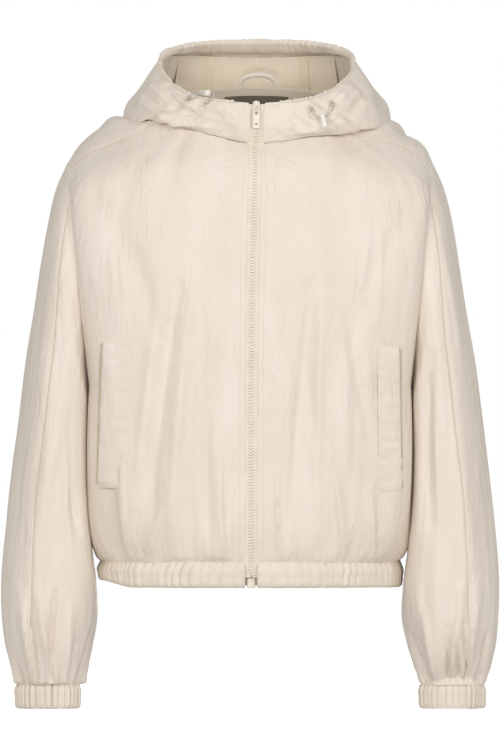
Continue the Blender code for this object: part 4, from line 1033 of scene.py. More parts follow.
@dataclass(frozen=True)
class BodyShell:
    """Fronts, back and hem band, gathered at the hem."""

    front_cells: tuple[int, int] = (100, 190)
    back_cells: tuple[int, int] = (170, 140)
    band_cells: tuple[int, int] = (560, 16)
    hem_marks: int = 721
    gather_pitch: float = 0.0100
    gather_height: float = 0.0034
    gather_seed: int = 11
    gather_reach: float = 0.022
    swell_start: float = 0.022
    swell_reach: float = 0.060
    seam_hold: float = 0.010
    side_hold: float = 0.030
    zip_hold: float = 0.022
    zip_wave_reach: float = 0.012
    streak_top: float = -0.12
    streak_fall: float = 0.40
    wide_growth: float = 0.0014
    fine_growth: float = 0.00040
    topstitch: float = 0.0030
    edge_stitch: float = 0.0065
    shoulder_stitches: tuple[float, float] = (0.0022, 0.0075)

    gather_drift = Ripple(0.010, 0.05, 0.10, 21)
    gather_swell = Ripple(0.0048, 0.024, 0.5, 12)
    streak_drift = Ripple(0.012, 0.07, 0.16, 31)
    wide_streaks = Ripple(0.0012, 0.020, 0.26, 32)
    fine_streaks = Ripple(0.00045, 0.0085, 0.12, 33)
    zip_waves = Ripple(0.0005, 0.018, 1.0, 51)
    band_drift = Ripple(0.004, 0.03, 0.5, 61)
    band_ribs = Ripple(0.0007, 0.004, 1 / 2.2, 62)

    band = {
        "share": (0.00, 0.10, 0.45, 0.66, 0.75, 0.84, 1.00),
        "z": (-0.5585, -0.5662, -0.5800, -0.5905, -0.5938, -0.5915, -0.5800),
        "inset": (0.0026, -0.0010, -0.0016, -0.0004, 0.0016, 0.0034, 0.0038),
    }
    band_lift: float = 0.009

    creases = {
        Side.RIGHT: (
            Crease((-0.0894, -0.22), (-0.123, -0.491), 0.01, -0.006, 0.003, 0.3),
            Crease((-0.0744, -0.234), (-0.099, -0.509), 0.008, 0.005, 0.002),
            Crease((-0.112, -0.234), (-0.143, -0.484), 0.0085, 0.004, 0.002),
            Crease((-0.0231, -0.251), (-0.0131, -0.3325), 0.004, -0.0025),
            Crease((-0.0056, -0.059), (-0.0494, -0.0713), 0.004, 0.0022, 0.002),
            Crease((-0.007, -0.07), (-0.03, -0.1), 0.0045, 0.0022, 0.001),
            Crease((-0.174, -0.165), (-0.17, -0.225), 0.003, 0.0018),
            Crease((-0.162, -0.17), (-0.156, -0.23), 0.0032, 0.0018),
            Crease((-0.185, -0.12), (-0.115, -0.27), 0.016, -0.004, -0.006),
            Crease((-0.104, -0.49), (-0.126, -0.556), 0.006, 0.0045, 0.002, 0.4),
            Crease((-0.036, -0.43), (-0.03, -0.558), 0.0045, 0.0042, 0.003, 0.4),
            Crease((-0.052, -0.36), (-0.05, -0.54), 0.006, -0.0035, 0.003),
            Crease((-0.02, -0.5), (-0.022, -0.56), 0.003, 0.0035, 0.0, 0.5),
            Crease((-0.16, -0.42), (-0.156, -0.555), 0.006, 0.0036, 0.002, -0.3),
        ),
        Side.LEFT: (
            Crease((0.0769, -0.22), (0.0506, -0.496), 0.008, -0.005, 0.002, -0.3),
            Crease((0.0906, -0.234), (0.083, -0.484), 0.007, 0.0048, 0.002),
            Crease((0.0769, -0.334), (0.0869, -0.455), 0.006, -0.003),
            Crease((0.128, -0.286), (0.148, -0.404), 0.006, -0.004),
            Crease((0.113, -0.25), (0.122, -0.43), 0.007, 0.0036, -0.002),
            Crease((0.0256, -0.059), (0.063, -0.071), 0.004, 0.0022, -0.002),
            Crease((0.023, -0.0775), (0.0506, -0.1225), 0.005, 0.0024),
            Crease((0.15, -0.13), (0.14, -0.23), 0.0035, 0.002),
            Crease((0.166, -0.15), (0.16, -0.26), 0.004, 0.0022),
            Crease((0.195, -0.13), (0.125, -0.29), 0.015, -0.004, 0.006),
            Crease((0.101, -0.43), (0.116, -0.556), 0.0055, 0.0045, -0.002, -0.4),
            Crease((0.036, -0.45), (0.043, -0.56), 0.0035, 0.0042, 0.004, 0.4),
            Crease((0.026, -0.35), (0.022, -0.52), 0.006, -0.003, 0.003),
            Crease((0.152, -0.47), (0.156, -0.56), 0.004, 0.004, 0.0, 0.3),
        ),
    }

    def hem_place(self, points: Array) -> Array:
        """The way round the hem, from the zip, of points near it."""
        turn = np.linspace(0, 2 * math.pi, self.hem_marks)
        line = BODY.hem_line(turn, np.full_like(turn, BODY.hem_seam), np.zeros_like(turn))
        width, deep = BODY.sections["half_width"][0], BODY.sections["front"][0]
        table = np.unwrap(np.arctan2(line[:, 0] / width, -line[:, 1] / deep))
        angle = np.arctan2(points[..., 0] / width, -points[..., 1] / deep)
        angle = np.where(angle < table[0], angle + 2 * math.pi, angle)
        return np.interp(angle, table, Cloth.reach(line))

    def hem_gathers(self, points: Array) -> Array:
        """Height of the hem's gathers, strongest at the seam and gone above the waist."""
        place, away = self.hem_place(points), points[..., 2] - BODY.hem_seam
        drift = place + self.gather_drift.rise(place, away)
        fine = self.gather_height * pleats(drift, self.gather_pitch, self.gather_seed) * gather_fade(
            away, self.gather_reach)
        long = self.gather_swell.rise(drift, away) * gather_fade(away, self.swell_reach)
        return fine * ease(away / self.seam_hold) + long * ease(away / self.swell_start)

    def hem_hold(self, points: Array) -> Array:
        """0 at the hem seam, which holds the cloth still, and 1 just above it."""
        return ease((points[..., 2] - BODY.hem_seam) / self.seam_hold)

    def streaks(self, points: Array) -> Array:
        """Height of the soft streaks that hang down the cloth."""
        place, z = self.hem_place(points), points[..., 2]
        lower = ease((self.streak_top - z) / self.streak_fall)
        drift = place + self.streak_drift.rise(place, z)
        wide = (self.wide_streaks.height + self.wide_growth * lower) * self.wide_streaks.shape(drift, z)
        fine = (self.fine_streaks.height + self.fine_growth * lower) * self.fine_streaks.shape(drift, z)
        return wide + fine

    def front_height(self, cloth: Cloth, side: Side) -> Callable[[Array, Array, Array], Array]:
        """Folds of one front, held flat beside the zip."""
        def height(across: Array, up: Array, points: Array) -> Array:
            held = ease(across * cloth.width / self.zip_hold - 0.35) * ease(
                (1 - across) * cloth.width / self.side_hold)
            hanging = self.streaks(points) + folded(points, self.creases[side])
            soft = hanging * self.hem_hold(points) + self.hem_gathers(points)
            zip_wave = self.zip_waves.rise(up * cloth.length, 0 * up) * gather_fade(
                across * cloth.width, self.zip_wave_reach)
            return soft * held + zip_wave + cloth.edge_roll(across, up, "tb", 0.0005)
        return height

    def build_front(self, side: Side) -> None:
        """Makes one front with its stitches."""
        cloth = Cloth(BODY.front(side), side.value, (0.45, 0.45))
        surface = cloth.raised(self.front_height(cloth, side))
        piece = cloth.laid(f"front_cloth_{side.label}", surface, self.front_cells, SHELL_WALL, NYLON)
        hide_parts(f"front_{side.label}")
        edge, low = self.edge_stitch / cloth.width, self.topstitch / cloth.length
        rows = [
            STITCHES.row(f"zip_stitches_{side.label}", surface,
                         share_line((edge, 0.003), (edge, 0.993), 160), side.value),
            STITCHES.row(f"hem_stitches_{side.label}", surface,
                         share_line((0.01, low), (0.99, low), 160), side.value),
        ]
        for number, away in enumerate(self.shoulder_stitches):
            line = share_line((0.53, 1 - away / cloth.length), (0.985, 1 - away / cloth.length))
            rows.append(STITCHES.row(f"shoulder_stitches_{side.label}_{number}", surface, line, side.value))
        declare_sheet(surface)

    def build_back(self) -> None:
        """Makes the back."""
        cloth = Cloth(BODY.back, -1, (0.3, 0.4))

        def height(across: Array, up: Array, points: Array) -> Array:
            below = ease((-0.10 - points[..., 2]) / 0.10)
            hanging = self.streaks(points) * (0.3 + 0.7 * below)
            soft = hanging * self.hem_hold(points) + self.hem_gathers(points)
            held = ease((1 - up) * 12) * ease(
                np.minimum(across, 1 - across) * cloth.width / self.side_hold)
            return soft * held + cloth.edge_roll(across, up, "b", 0.0005)
        surface = cloth.raised(height)
        piece = cloth.laid("back_cloth", surface, self.back_cells, SHELL_WALL, NYLON)
        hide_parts("back")
        low = self.topstitch / cloth.length
        row = STITCHES.row("hem_stitches_back", surface, share_line((0.004, low), (0.996, low), 300), -1)
        declare_sheet(surface)

    def build_band(self) -> None:
        """Makes the elastic hem band: cloth folded under, gathered all round."""
        def profile(across: Array, up: Array) -> Array:
            turn = BODY.hem_turn(across)
            z = smooth(self.band["share"], self.band["z"], up)
            line = BODY.hem_line(turn, z, smooth(self.band["share"], self.band["inset"], up))
            rise = self.band_lift * ease((-line[..., 0] - 0.145) / 0.045) * ease(
                (BODY.hem_seam - z) / 0.030)
            return line + stack(0 * rise, 0 * rise, rise)
        cloth = Cloth(profile, -1)

        def height(across: Array, up: Array, points: Array) -> Array:
            outside = ease(up / 0.05) * ease((0.74 - up) / 0.12)
            place = self.hem_place(points)
            slant = place + self.band_drift.rise(place, up)
            return outside * (self.gather_height * pleats(slant, self.gather_pitch, self.gather_seed)
                              + self.band_ribs.rise(slant, up))
        surface = cloth.raised(height)
        piece = cloth.laid("hem_band_cloth", surface, self.band_cells, BAND_WALL, BAND_NYLON)
        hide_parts("hem_band")
        declare_sheet(surface)

    def build(self) -> None:
        """Makes the body."""
        self.build_band()
        self.build_back()
        for side in Side:
            self.build_front(side)


@dataclass(frozen=True)
class SleevePair:
    """Two-piece sleeves gathered into elastic cuffs."""

    front_cells: tuple[int, int] = (64, 190)
    back_cells: tuple[int, int] = (90, 150)
    cuff_cells: tuple[int, int] = (320, 14)
    cuff_reach: float = 0.0363
    cuff_rib_height: float = 0.0054
    mean_radius: float = 0.085
    length: float = 0.66
    gather_pitch: float = 0.0115
    gather_height: float = 0.0064
    gather_reach: float = 0.042
    swell_reach: float = 0.065
    seam_hold: float = 0.010
    stitch_inset: float = 0.0025

    drift = Ripple(0.012, 0.06, 0.12, 0)
    wide_streaks = Ripple(0.0013, 0.019, 0.17, 1)
    fine_streaks = Ripple(0.0005, 0.008, 0.09, 2)
    gather_swell = Ripple(0.0100, 0.015, 0.4, 4)
    cuff_ribs = Ripple(0.0004, 0.004, 0.5, 5)

    creases = {
        Side.RIGHT: (
            Crease((-0.222, -0.475), (-0.216, -0.52), 0.0045, -0.006),
            Crease((-0.262, -0.61), (-0.245, -0.705), 0.0055, 0.006, 0.002, 0.3),
            Crease((-0.285, -0.6), (-0.268, -0.705), 0.0055, 0.006, 0.002, 0.3),
            Crease((-0.225, -0.62), (-0.228, -0.705), 0.005, 0.0055, 0.002, -0.3),
            Crease((-0.235, -0.18), (-0.262, -0.33), 0.011, 0.0024, 0.004),
            Crease((-0.23, -0.33), (-0.262, -0.47), 0.01, 0.0028, -0.004),
            Crease((-0.274, -0.64), (-0.262, -0.74), 0.003, -0.007, 0.0, 0.3),
            Crease((-0.243, -0.6), (-0.247, -0.74), 0.0032, -0.007, 0.004),
            Crease((-0.198, -0.645), (-0.222, -0.74), 0.003, -0.007, 0.0, -0.3),
            Crease((-0.221, -0.665), (-0.233, -0.74), 0.0028, -0.006),
            Crease((-0.25, -0.44), (-0.275, -0.58), 0.009, 0.0024, 0.003),
        ),
        Side.LEFT: (
            Crease((0.226, -0.31), (0.226, -0.505), 0.0075, -0.0075, 0.004),
            Crease((0.236, -0.3), (0.24, -0.5), 0.008, 0.0028, 0.004),
            Crease((0.203, -0.655), (0.224, -0.74), 0.003, -0.007, 0.0, 0.3),
            Crease((0.248, -0.645), (0.25, -0.74), 0.0028, -0.007, 0.002),
            Crease((0.26, -0.66), (0.264, -0.74), 0.0028, -0.006),
            Crease((0.268, -0.64), (0.277, -0.74), 0.003, -0.007, 0.0, -0.3),
            Crease((0.297, -0.655), (0.286, -0.74), 0.0028, -0.006),
            Crease((0.262, -0.6), (0.25, -0.705), 0.0055, 0.006, -0.002, -0.3),
            Crease((0.284, -0.59), (0.27, -0.705), 0.0055, 0.006, -0.002, -0.3),
            Crease((0.215, -0.62), (0.228, -0.705), 0.005, 0.0055, -0.002, 0.3),
            Crease((0.24, -0.16), (0.262, -0.33), 0.011, 0.0024, -0.004),
            Crease((0.255, -0.42), (0.275, -0.58), 0.009, 0.0024, -0.003),
        ),
    }

    def height(self, turn: Array, along: Array, side: Side) -> Array:
        """Folds and gathers by turn and share of the length, mirrored behind."""
        seed = 70 if side is Side.LEFT else 80
        place = (math.pi - np.abs(turn % (2 * math.pi) - math.pi)) * self.mean_radius
        run, away = along * self.length, (1 - along) * self.length
        drift = place + self.drift.rise(place, run, seed)
        soft = self.wide_streaks.rise(drift, run, seed) + self.fine_streaks.rise(drift, run, seed)
        cuff_place = place / self.mean_radius * self.cuff_reach
        fine = self.gather_height * (pleats(cuff_place, self.gather_pitch, seed + 3) - 0.75) * gather_fade(
            away, self.gather_reach)
        long = self.gather_swell.rise(cuff_place, away, seed) * gather_fade(away, self.swell_reach)
        return (soft + (fine + long) * ease(away / self.seam_hold)) * ease(along * 18)

    def build_panel(self, side: Side, is_front: bool) -> None:
        """Makes one panel of a sleeve."""
        half = "front" if is_front else "back"

        def base(across: Array, along: Array) -> Array:
            return SLEEVE.point(SLEEVE.turn(across, along, is_front), along, side)
        cloth = Cloth(base, side.value)

        def height(across: Array, up: Array, points: Array) -> Array:
            along = np.interp(up * cloth.length, cloth.up_reach, cloth.shares)
            column = np.interp(across * cloth.width, cloth.across_reach, cloth.shares)
            turn = SLEEVE.turn(column, along, is_front)
            facing = ease(np.sin(turn) * 1.6)
            underarm = 1 - np.exp(-((turn - math.pi) / 0.45) ** 2) * ease((0.80 - along) / 0.1)
            creased = folded(points, self.creases[side]) * facing * ease((1 - up) * cloth.length / 0.012)
            soft = self.height(turn, along, side) + creased
            return soft * underarm + cloth.edge_roll(across, up, "l" if is_front else "r", 0.0017) * ease(
                (1 - up) * cloth.length / 0.006)
        surface = cloth.raised(height)
        name = f"sleeve_{half}_{side.label}"
        cells = self.front_cells if is_front else self.back_cells
        piece = cloth.laid(f"{name}_cloth", surface, cells, SHELL_WALL, NYLON)
        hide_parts(name)
        edge = self.stitch_inset / cloth.width
        column = edge if is_front else 1 - edge
        row = STITCHES.row(f"{name}_stitches", surface, share_line((column, 0.01), (column, 0.985), 160),
                           side.value)
        declare_sheet(surface)

    def build_cuff(self, side: Side) -> None:
        """Makes an elastic cuff: a folded tube with close ribs."""
        rings = SLEEVE.rings
        foot, seam = SLEEVE.cuff_foot, rings["outer_z"][-1]
        path = {"share": (0.00, 0.08, 0.40, 0.66, 0.75, 0.84, 1.00),
                "z": (seam + 0.0016, seam - 0.004, (seam + foot) / 2, foot + 0.0035, foot, foot + 0.003,
                      foot + 0.014),
                "inset": (0.0018, -0.0004, -0.0008, 0.0000, 0.0018, 0.0036, 0.0040)}

        def profile(across: Array, up: Array) -> Array:
            turn = across * 2 * math.pi
            inset = smooth(path["share"], path["inset"], up)
            middle, half = [(rings["outer_x"][-1] + sign * rings["inner_x"][-1]) / 2 for sign in (1, -1)]
            x = middle + (half - inset) * np.cos(turn)
            y = rings["middle_y"][-1] - (rings["half_depth"][-1] - inset) * np.sin(turn)
            return stack(side.value * x, y, smooth(path["share"], path["z"], up))
        cloth = Cloth(profile, side.value)
        seed = 73 if side is Side.LEFT else 83

        def height(across: Array, up: Array, points: Array) -> Array:
            outside = ease(up / 0.06) * ease((0.74 - up) / 0.12)
            turn = across * 2 * math.pi
            place = (math.pi - np.abs(turn - math.pi)) * self.cuff_reach
            ribs = self.cuff_rib_height * (pleats(place, 0.75 * self.gather_pitch, seed) - 0.5)
            return outside * (ribs + self.cuff_ribs.rise(place, up, seed))
        surface = cloth.raised(height)
        piece = cloth.laid(f"cuff_cloth_{side.label}", surface, self.cuff_cells, BAND_WALL, BAND_NYLON,
                           is_ring=True)
        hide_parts(f"cuff_{side.label}")
        declare_sheet(surface)

    def build(self) -> None:
        """Makes both sleeves with their cuffs."""
        for side in Side:
            self.build_panel(side, True)
            self.build_panel(side, False)
            self.build_cuff(side)


@dataclass(frozen=True)
class LoweredHood:
    """Three hood panels with their lining, facing and the casing round the opening."""

    side_cells: tuple[int, int] = (130, 120)
    centre_cells: tuple[int, int] = (40, 120)
    lining_cell: float = 0.0030
    lining_cells_up: int = 60
    lining_first: float = 3.0
    lining_rows: tuple[float, float] = (1 / 15, 14 / 15)
    lining_drop: float = 0.0020
    facing_column: float = 13.0
    facing_out: float = 0.010
    slack_turn: float = 80.0
    slack_span: float = 60.0
    seam_tape_half: float = 0.22
    seam_tape_drop: float = 0.0006
    stitch_inset: float = 0.0025
    casing_first: float = 0.7
    casing_cells: tuple[int, int] = (600, 14)
    casing_wall: float = 0.0007
    casing_held: float = 0.9985
    casing_stand: float = 0.14
    casing_gather_height: float = 0.0022
    casing_gather_pitch: float = 0.0095

    neck_slack = {"out": 0.030, "drop": 0.075}
    rim_slack = {"out": 0.012, "drop": 0.065}
    wide_waves = Ripple(0.0010, 0.022, 1 / 2.5, 91)
    fine_waves = Ripple(0.0004, 0.009, 1 / 5, 92)
    crumples = Ripple(0.0026, 0.013, 0.034, 93)
    lining_waves = Ripple(0.0009, 0.016, 1 / 3, 95)
    lining_ripples = Ripple(0.0006, 0.006, 1 / 4, 96)
    casing_ripples = Ripple(0.0005, 0.004, 1 / 2, 98)

    creases = (
        Crease((-0.043, 0.016), (-0.017, -0.013), 0.0035, 0.004, 0.001, 0.5),
        Crease((-0.12, -0.002), (-0.04, -0.022), 0.006, 0.005, 0.003),
        Crease((-0.11, 0.02), (-0.06, -0.004), 0.006, -0.0045, 0.003),
        Crease((-0.098, 0.026), (-0.07, 0.006), 0.0035, 0.004, 0.001),
        Crease((-0.14, 0.034), (-0.108, 0.004), 0.006, -0.005, 0.002),
        Crease((-0.128, 0.04), (-0.095, 0.012), 0.004, 0.0045, 0.002),
        Crease((-0.135, 0.014), (-0.08, -0.014), 0.0045, 0.0045, 0.002),
        Crease((0.05, 0.004), (0.096, -0.022), 0.005, -0.0045, 0.002),
        Crease((0.04, -0.006), (0.07, -0.026), 0.004, 0.004, 0.002),
        Crease((0.055, -0.028), (0.13, -0.01), 0.006, 0.005, -0.003),
        Crease((0.128, 0.036), (0.098, -0.002), 0.005, 0.0045, 0.002),
        Crease((0.15, 0.03), (0.128, -0.002), 0.006, -0.005, 0.002),
        Crease((0.112, 0.02), (0.1, -0.012), 0.0035, -0.0035, 0.001),
    )

    @staticmethod
    def columns(first: float, last: float, low: float = 0.0, high: float = 1.0) -> Surface:
        """A part of the hood between column lines and shares of its path."""
        def surface(across: Array, up: Array) -> Array:
            return HOOD.point(HOOD.turn(first + (last - first) * across), low + (high - low) * up)
        return surface

    def hung(self, first: float, last: float, slack_out: float) -> Surface:
        """The lining between column lines, hung from the rim into the pouch and up to the neck."""
        def surface(across: Array, up: Array) -> Array:
            turn = HOOD.turn(first + (last - first) * across)
            out = stack(np.sin(turn), -np.cos(turn), 0 * turn)
            drop = stack(0 * turn, 0 * turn, ease((np.degrees(np.abs(
                (turn + math.pi) % (2 * math.pi) - math.pi)) - self.slack_turn) / self.slack_span))
            neck, rim = [HOOD.point(turn, np.full_like(turn, row)) for row in self.lining_rows]
            slack = drop[..., 2:]
            second = (neck + (self.neck_slack["out"] + slack_out) * slack * out
                      - self.neck_slack["drop"] * drop)
            third = rim + (self.rim_slack["out"] + slack_out) * slack * out - self.rim_slack["drop"] * drop
            return bezier(up[..., None], neck, second, third, rim)
        return surface

    def shell_height(self, cloth: Cloth, edges: str) -> Callable[[Array, Array, Array], Array]:
        """Folds of the shell: creases on the collar's front, soft waves behind."""
        def height(across: Array, up: Array, points: Array) -> Array:
            in_front = ease((-points[..., 1] - 0.01) / 0.03)
            place = np.arctan2(points[..., 0], -points[..., 1]) * 0.13
            wave = self.wide_waves.rise(place, up) + self.fine_waves.rise(place, up)
            bulge = 0.0014 * np.exp(-((up - 0.18) / 0.11) ** 2) * in_front
            x, z = points[..., 0], points[..., 2]
            crumple = self.crumples.rise(np.abs(x) + 1.3 * z, z - 0.5 * np.abs(x))
            free = ease(up / 0.11) * ease((1 - up) / 0.05) * ease((np.abs(x - 0.008) - 0.009) / 0.016)
            front_folds = (folded(points, self.creases) + crumple) * in_front
            return (wave + front_folds + bulge) * free + cloth.edge_roll(across, up, edges, 0.0006)
        return height

    def build_shell(self, name: str, first: float, last: float, edges: str) -> None:
        """Makes one panel of the shell."""
        cloth = Cloth(self.columns(first, last), 1)
        surface = cloth.raised(self.shell_height(cloth, edges))
        cells = self.centre_cells if name == "centre" else self.side_cells
        piece = cloth.laid(f"hood_cloth_{name}", surface, cells, SHELL_WALL, NYLON)
        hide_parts(f"hood_{name}")
        low = self.stitch_inset / cloth.length
        row = STITCHES.row(f"neck_stitches_{name}", surface, share_line((0.01, low), (0.99, low), 200), 1)
        declare_sheet(surface)

    def build_lining(self, name: str, first: float, last: float, finish: Finish, drop: float,
                     nodes: Sequence[str]) -> None:
        """Makes a part of the lining; the facing hangs outside the mesh, nearer to the shell."""
        cloth = Cloth(self.hung(first, last, self.facing_out if finish is NYLON else 0.0), 1)

        def height(across: Array, up: Array, points: Array) -> Array:
            place = across * cloth.width
            wave = self.lining_waves.rise(place, up) + self.lining_ripples.rise(place, up)
            return wave * ease(up / 0.06) * ease((1 - up) / 0.06) - drop
        surface = cloth.raised(height)
        cells = (max(4, round(cloth.width / self.lining_cell)), self.lining_cells_up)
        piece = cloth.laid(name, surface, cells, LINING_WALL, finish)
        if nodes:
            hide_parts(*nodes)
        declare_sheet(surface)

    def build_casing(self) -> None:
        """Makes the drawcord casing: cloth folded over the rim, gathered by the cord."""
        path = {"share": (0.00, 0.15, 0.55, 0.70, 0.80, 0.90, 1.00),
                "along": (0.956, 0.964, 0.988, 1.000, 1.004, 1.000, 0.985),
                "drop": (0.0030, 0.0048, 0.0044, 0.0030, 0.0006, -0.0010, -0.0006)}

        def profile(across: Array, up: Array) -> Array:
            column = self.casing_first + (HOOD.columns - 2 * self.casing_first) * across
            turn, along = HOOD.turn(column), smooth(path["share"], path["along"], up)
            held = np.minimum(along, self.casing_held)
            point, normal = HOOD.point(turn, held), normals_of(HOOD.point, turn, held)
            lifted = point - smooth(path["share"], path["drop"], up)[..., None] * normal
            return lifted + stack(0 * up, 0 * up, (along - held) * self.casing_stand)
        cloth = Cloth(profile, -1)

        def height(across: Array, up: Array, points: Array) -> Array:
            place = across * cloth.width
            free = ease(up / 0.10) * ease((1 - up) / 0.2)
            gathers = self.casing_gather_height * pleats(place, self.casing_gather_pitch, 97)
            return free * (gathers + self.casing_ripples.rise(place, up))
        surface = cloth.raised(height)
        piece = cloth.laid("hood_casing_cloth", surface, self.casing_cells, self.casing_wall, BAND_NYLON)
        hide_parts("hood_casing")
        declare_sheet(surface)

    def build(self) -> None:
        """Makes the hood."""
        seam, whole = HOOD.seam_column, HOOD.columns
        self.build_shell("left", 0, seam, "rb")
        self.build_shell("centre", seam, whole - seam, "lrb")
        self.build_shell("right", whole - seam, whole, "lb")
        first, edge, drop = self.lining_first, self.facing_column, self.lining_drop
        linings = (
            # name, first and last column, finish, replaced nodes
            ("lining_centre", seam, whole - seam, MESH, ["hood_lining_centre"]),
            ("lining_side_left", edge, seam, MESH, []),
            ("lining_side_right", whole - seam, whole - edge, MESH, []),
            ("hood_facing_left", first, seam, NYLON, ["hood_lining_left"]),
            ("hood_facing_right", whole - seam, whole - first, NYLON, ["hood_lining_right"]),
        )
        for name, start, end, finish, nodes in linings:
            self.build_lining(name, start, end, finish, drop, nodes)
        for side, column in ((Side.LEFT, seam), (Side.RIGHT, whole - seam)):
            self.build_lining(f"lining_seam_{side.label}", column - self.seam_tape_half,
                              column + self.seam_tape_half, SEAM_TAPE, drop + self.seam_tape_drop, [])
        self.build_casing()


@dataclass(frozen=True)
class NeckFittings:
    """Mesh, bare label and hanger loop inside the back of the neck."""

    label_half_share: float = 0.036
    label_up: tuple[float, float] = (0.945, 0.985)
    loop_centre_x: float = 0.0100
    loop_half_span: float = 0.0220
    loop_foot: float = 0.0385
    loop_rise: float = 0.0125
    loop_y: float = 0.0700
    loop_half_width: float = 0.0023
    loop_round: float = 0.0016
    loop_bow: float = 0.004
    loop_power: float = 0.8

    mesh_columns = {"first": 8, "count": 6, "whole": 22}
    mesh_rows = {"first": 15, "count": 4, "whole": 19}

    def build(self) -> None:
        """Makes the three pieces."""
        def mesh(across: Array, up: Array) -> Array:
            columns, rows = self.mesh_columns, self.mesh_rows
            return BODY.back((columns["first"] + columns["count"] * across) / columns["whole"],
                             (rows["first"] + rows["count"] * up) / rows["whole"])

        def label(across: Array, up: Array) -> Array:
            low, high = self.label_up
            return BODY.back(0.5 + self.label_half_share * (2 * across - 1), low + (high - low) * up)

        def loop(across: Array, up: Array) -> Array:
            turn = math.pi * across
            wide = self.loop_half_width * (2 * up - 1)
            round_face = self.loop_round * (1 - (2 * up - 1) ** 2) + self.loop_bow * np.sin(turn)
            return stack(self.loop_centre_x - (self.loop_half_span + wide) * np.cos(turn),
                         self.loop_y - round_face,
                         self.loop_foot
                         + (self.loop_rise + wide) * signed_power(np.sin(turn), self.loop_power))
        pieces = (
            # name, surface, cells, depth under the shell, finish, replaced node, slot
            ("neck_mesh", mesh, (60, 40), 0.0018, MESH, "neck_lining", "mesh_lining"),
            ("neck_tape_label", label, (40, 16), 0.0034, LABEL, "neck_label", "label_cloth"),
            ("hanger_tape", loop, (48, 10), 0.0, NYLON, "hanger_loop", "nylon_shell"),
        )
        for name, base, cells, drop, finish, node, slot in pieces:
            cloth = Cloth(base, -1)
            surface = cloth.raised(lambda across, up, points, sunk=drop: np.full(across.shape, -sunk))
            piece = cloth.laid(name, surface, cells, LINING_WALL, finish)
            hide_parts(node)
            if node != "hanger_loop":
                declare_sheet(surface)


@dataclass(frozen=True)
class ZipFastener:
    """Tapes and moulded teeth; the slider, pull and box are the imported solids."""

    tooth_pitch: float = 0.0038
    tooth_reach: float = 0.0043
    tooth_height: float = 0.0027
    tooth_depth: float = 0.0013
    tape: tuple[float, float] = (0.0008, 0.0105)
    tooth_overlap: float = 0.0007
    tooth_round: float = 0.0007
    tape_top: float = 0.0115
    tape_drop: float = 0.0013
    tape_length: float = 0.6
    tape_cells: tuple[int, int] = (6, 160)
    chain_start: float = 0.002
    band_foot: float = -0.594
    foot: float = -0.5800
    top: float = 0.0105

    def line(self) -> Array:
        """Depth and height of the closed front edge from the hem to the rim."""
        rows = np.linspace(0, 1, 200)
        band = stack(0.0, np.full(2, -BODY.sections["front"][0]), np.array((self.band_foot, BODY.hem_seam)))
        return np.concatenate([band, BODY.front(Side.LEFT)(np.zeros_like(rows), rows),
                               HOOD.point(np.full_like(rows, BODY.first_turn), rows)[1:]])[:, 1:]

    def middle(self, z: Array) -> Array:
        """The zip's middle line at a height."""
        line = self.line()
        return stack(BODY.lean(z), np.interp(z, line[:, 1], line[:, 0]), z)

    def build_tape(self, side: Side) -> None:
        """Makes one tape."""
        def surface(across: Array, up: Array) -> Array:
            line = self.middle(self.foot + (self.tape_top - self.foot) * up)
            sideways = side.value * (self.tape[0] + (self.tape[1] - self.tape[0]) * across)
            return line + stack(sideways, self.tape_drop, 0 * up)
        piece = sheet(f"tape_cloth_{side.label}", surface, self.tape_cells, LINING_WALL, side.value,
                      (self.tape[1] - self.tape[0], self.tape_length))
        dress(piece, TAPE)
        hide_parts(f"zip_tape_{side.label}")
        declare_sheet(surface)

    def build_teeth(self) -> None:
        """Makes two rows of teeth that mesh head to head."""
        heights = np.linspace(self.foot + self.chain_start, self.top, 400)
        line = self.middle(heights)
        outwards = np.broadcast_to(np.array((0.0, -1.0, 0.0)), line.shape)
        for side in Side:
            deselect()
            bpy.ops.mesh.primitive_cube_add(size=1.0)
            tooth = bpy.context.object
            reach = Matrix.Diagonal((self.tooth_height, self.tooth_reach, self.tooth_depth, 1.0))
            sideways = -side.value * (self.tooth_reach / 2 - self.tooth_overlap)
            tooth.data.transform(Matrix.Translation((0.0, sideways, self.tooth_depth / 2)) @ reach)
            bpy.ops.object.mode_set(mode="EDIT")
            bpy.ops.mesh.select_all(action="SELECT")
            bpy.ops.mesh.bevel(offset=self.tooth_round, segments=2, affect="EDGES")
            bpy.ops.object.mode_set(mode="OBJECT")
            shift = 0 if side is Side.LEFT else self.tooth_pitch / 2
            start = np.searchsorted(heights, heights[0] + shift)
            row = line[start:] + np.array((0.0, self.tape_drop, 0.0))
            frames = line_frames(row, outwards[start:], self.tooth_pitch)
            piece = repeated(f"zip_teeth_{side.label}", tooth, frames)
            dress(piece, ACETAL)
            if side is Side.LEFT:
                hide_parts("zip_chain")

    def build(self) -> None:
        """Makes tapes and teeth and gives the kept solids their finishes."""
        for side in Side:
            self.build_tape(side)
        self.build_teeth()
        kept = {"zip_slider": ENAMEL, "zip_pull": ENAMEL, "zip_box": ACETAL}
        for name, finish in kept.items():
            node = bpy.data.objects[name]
            for slot in node.material_slots:
                slot.material = finish.material()


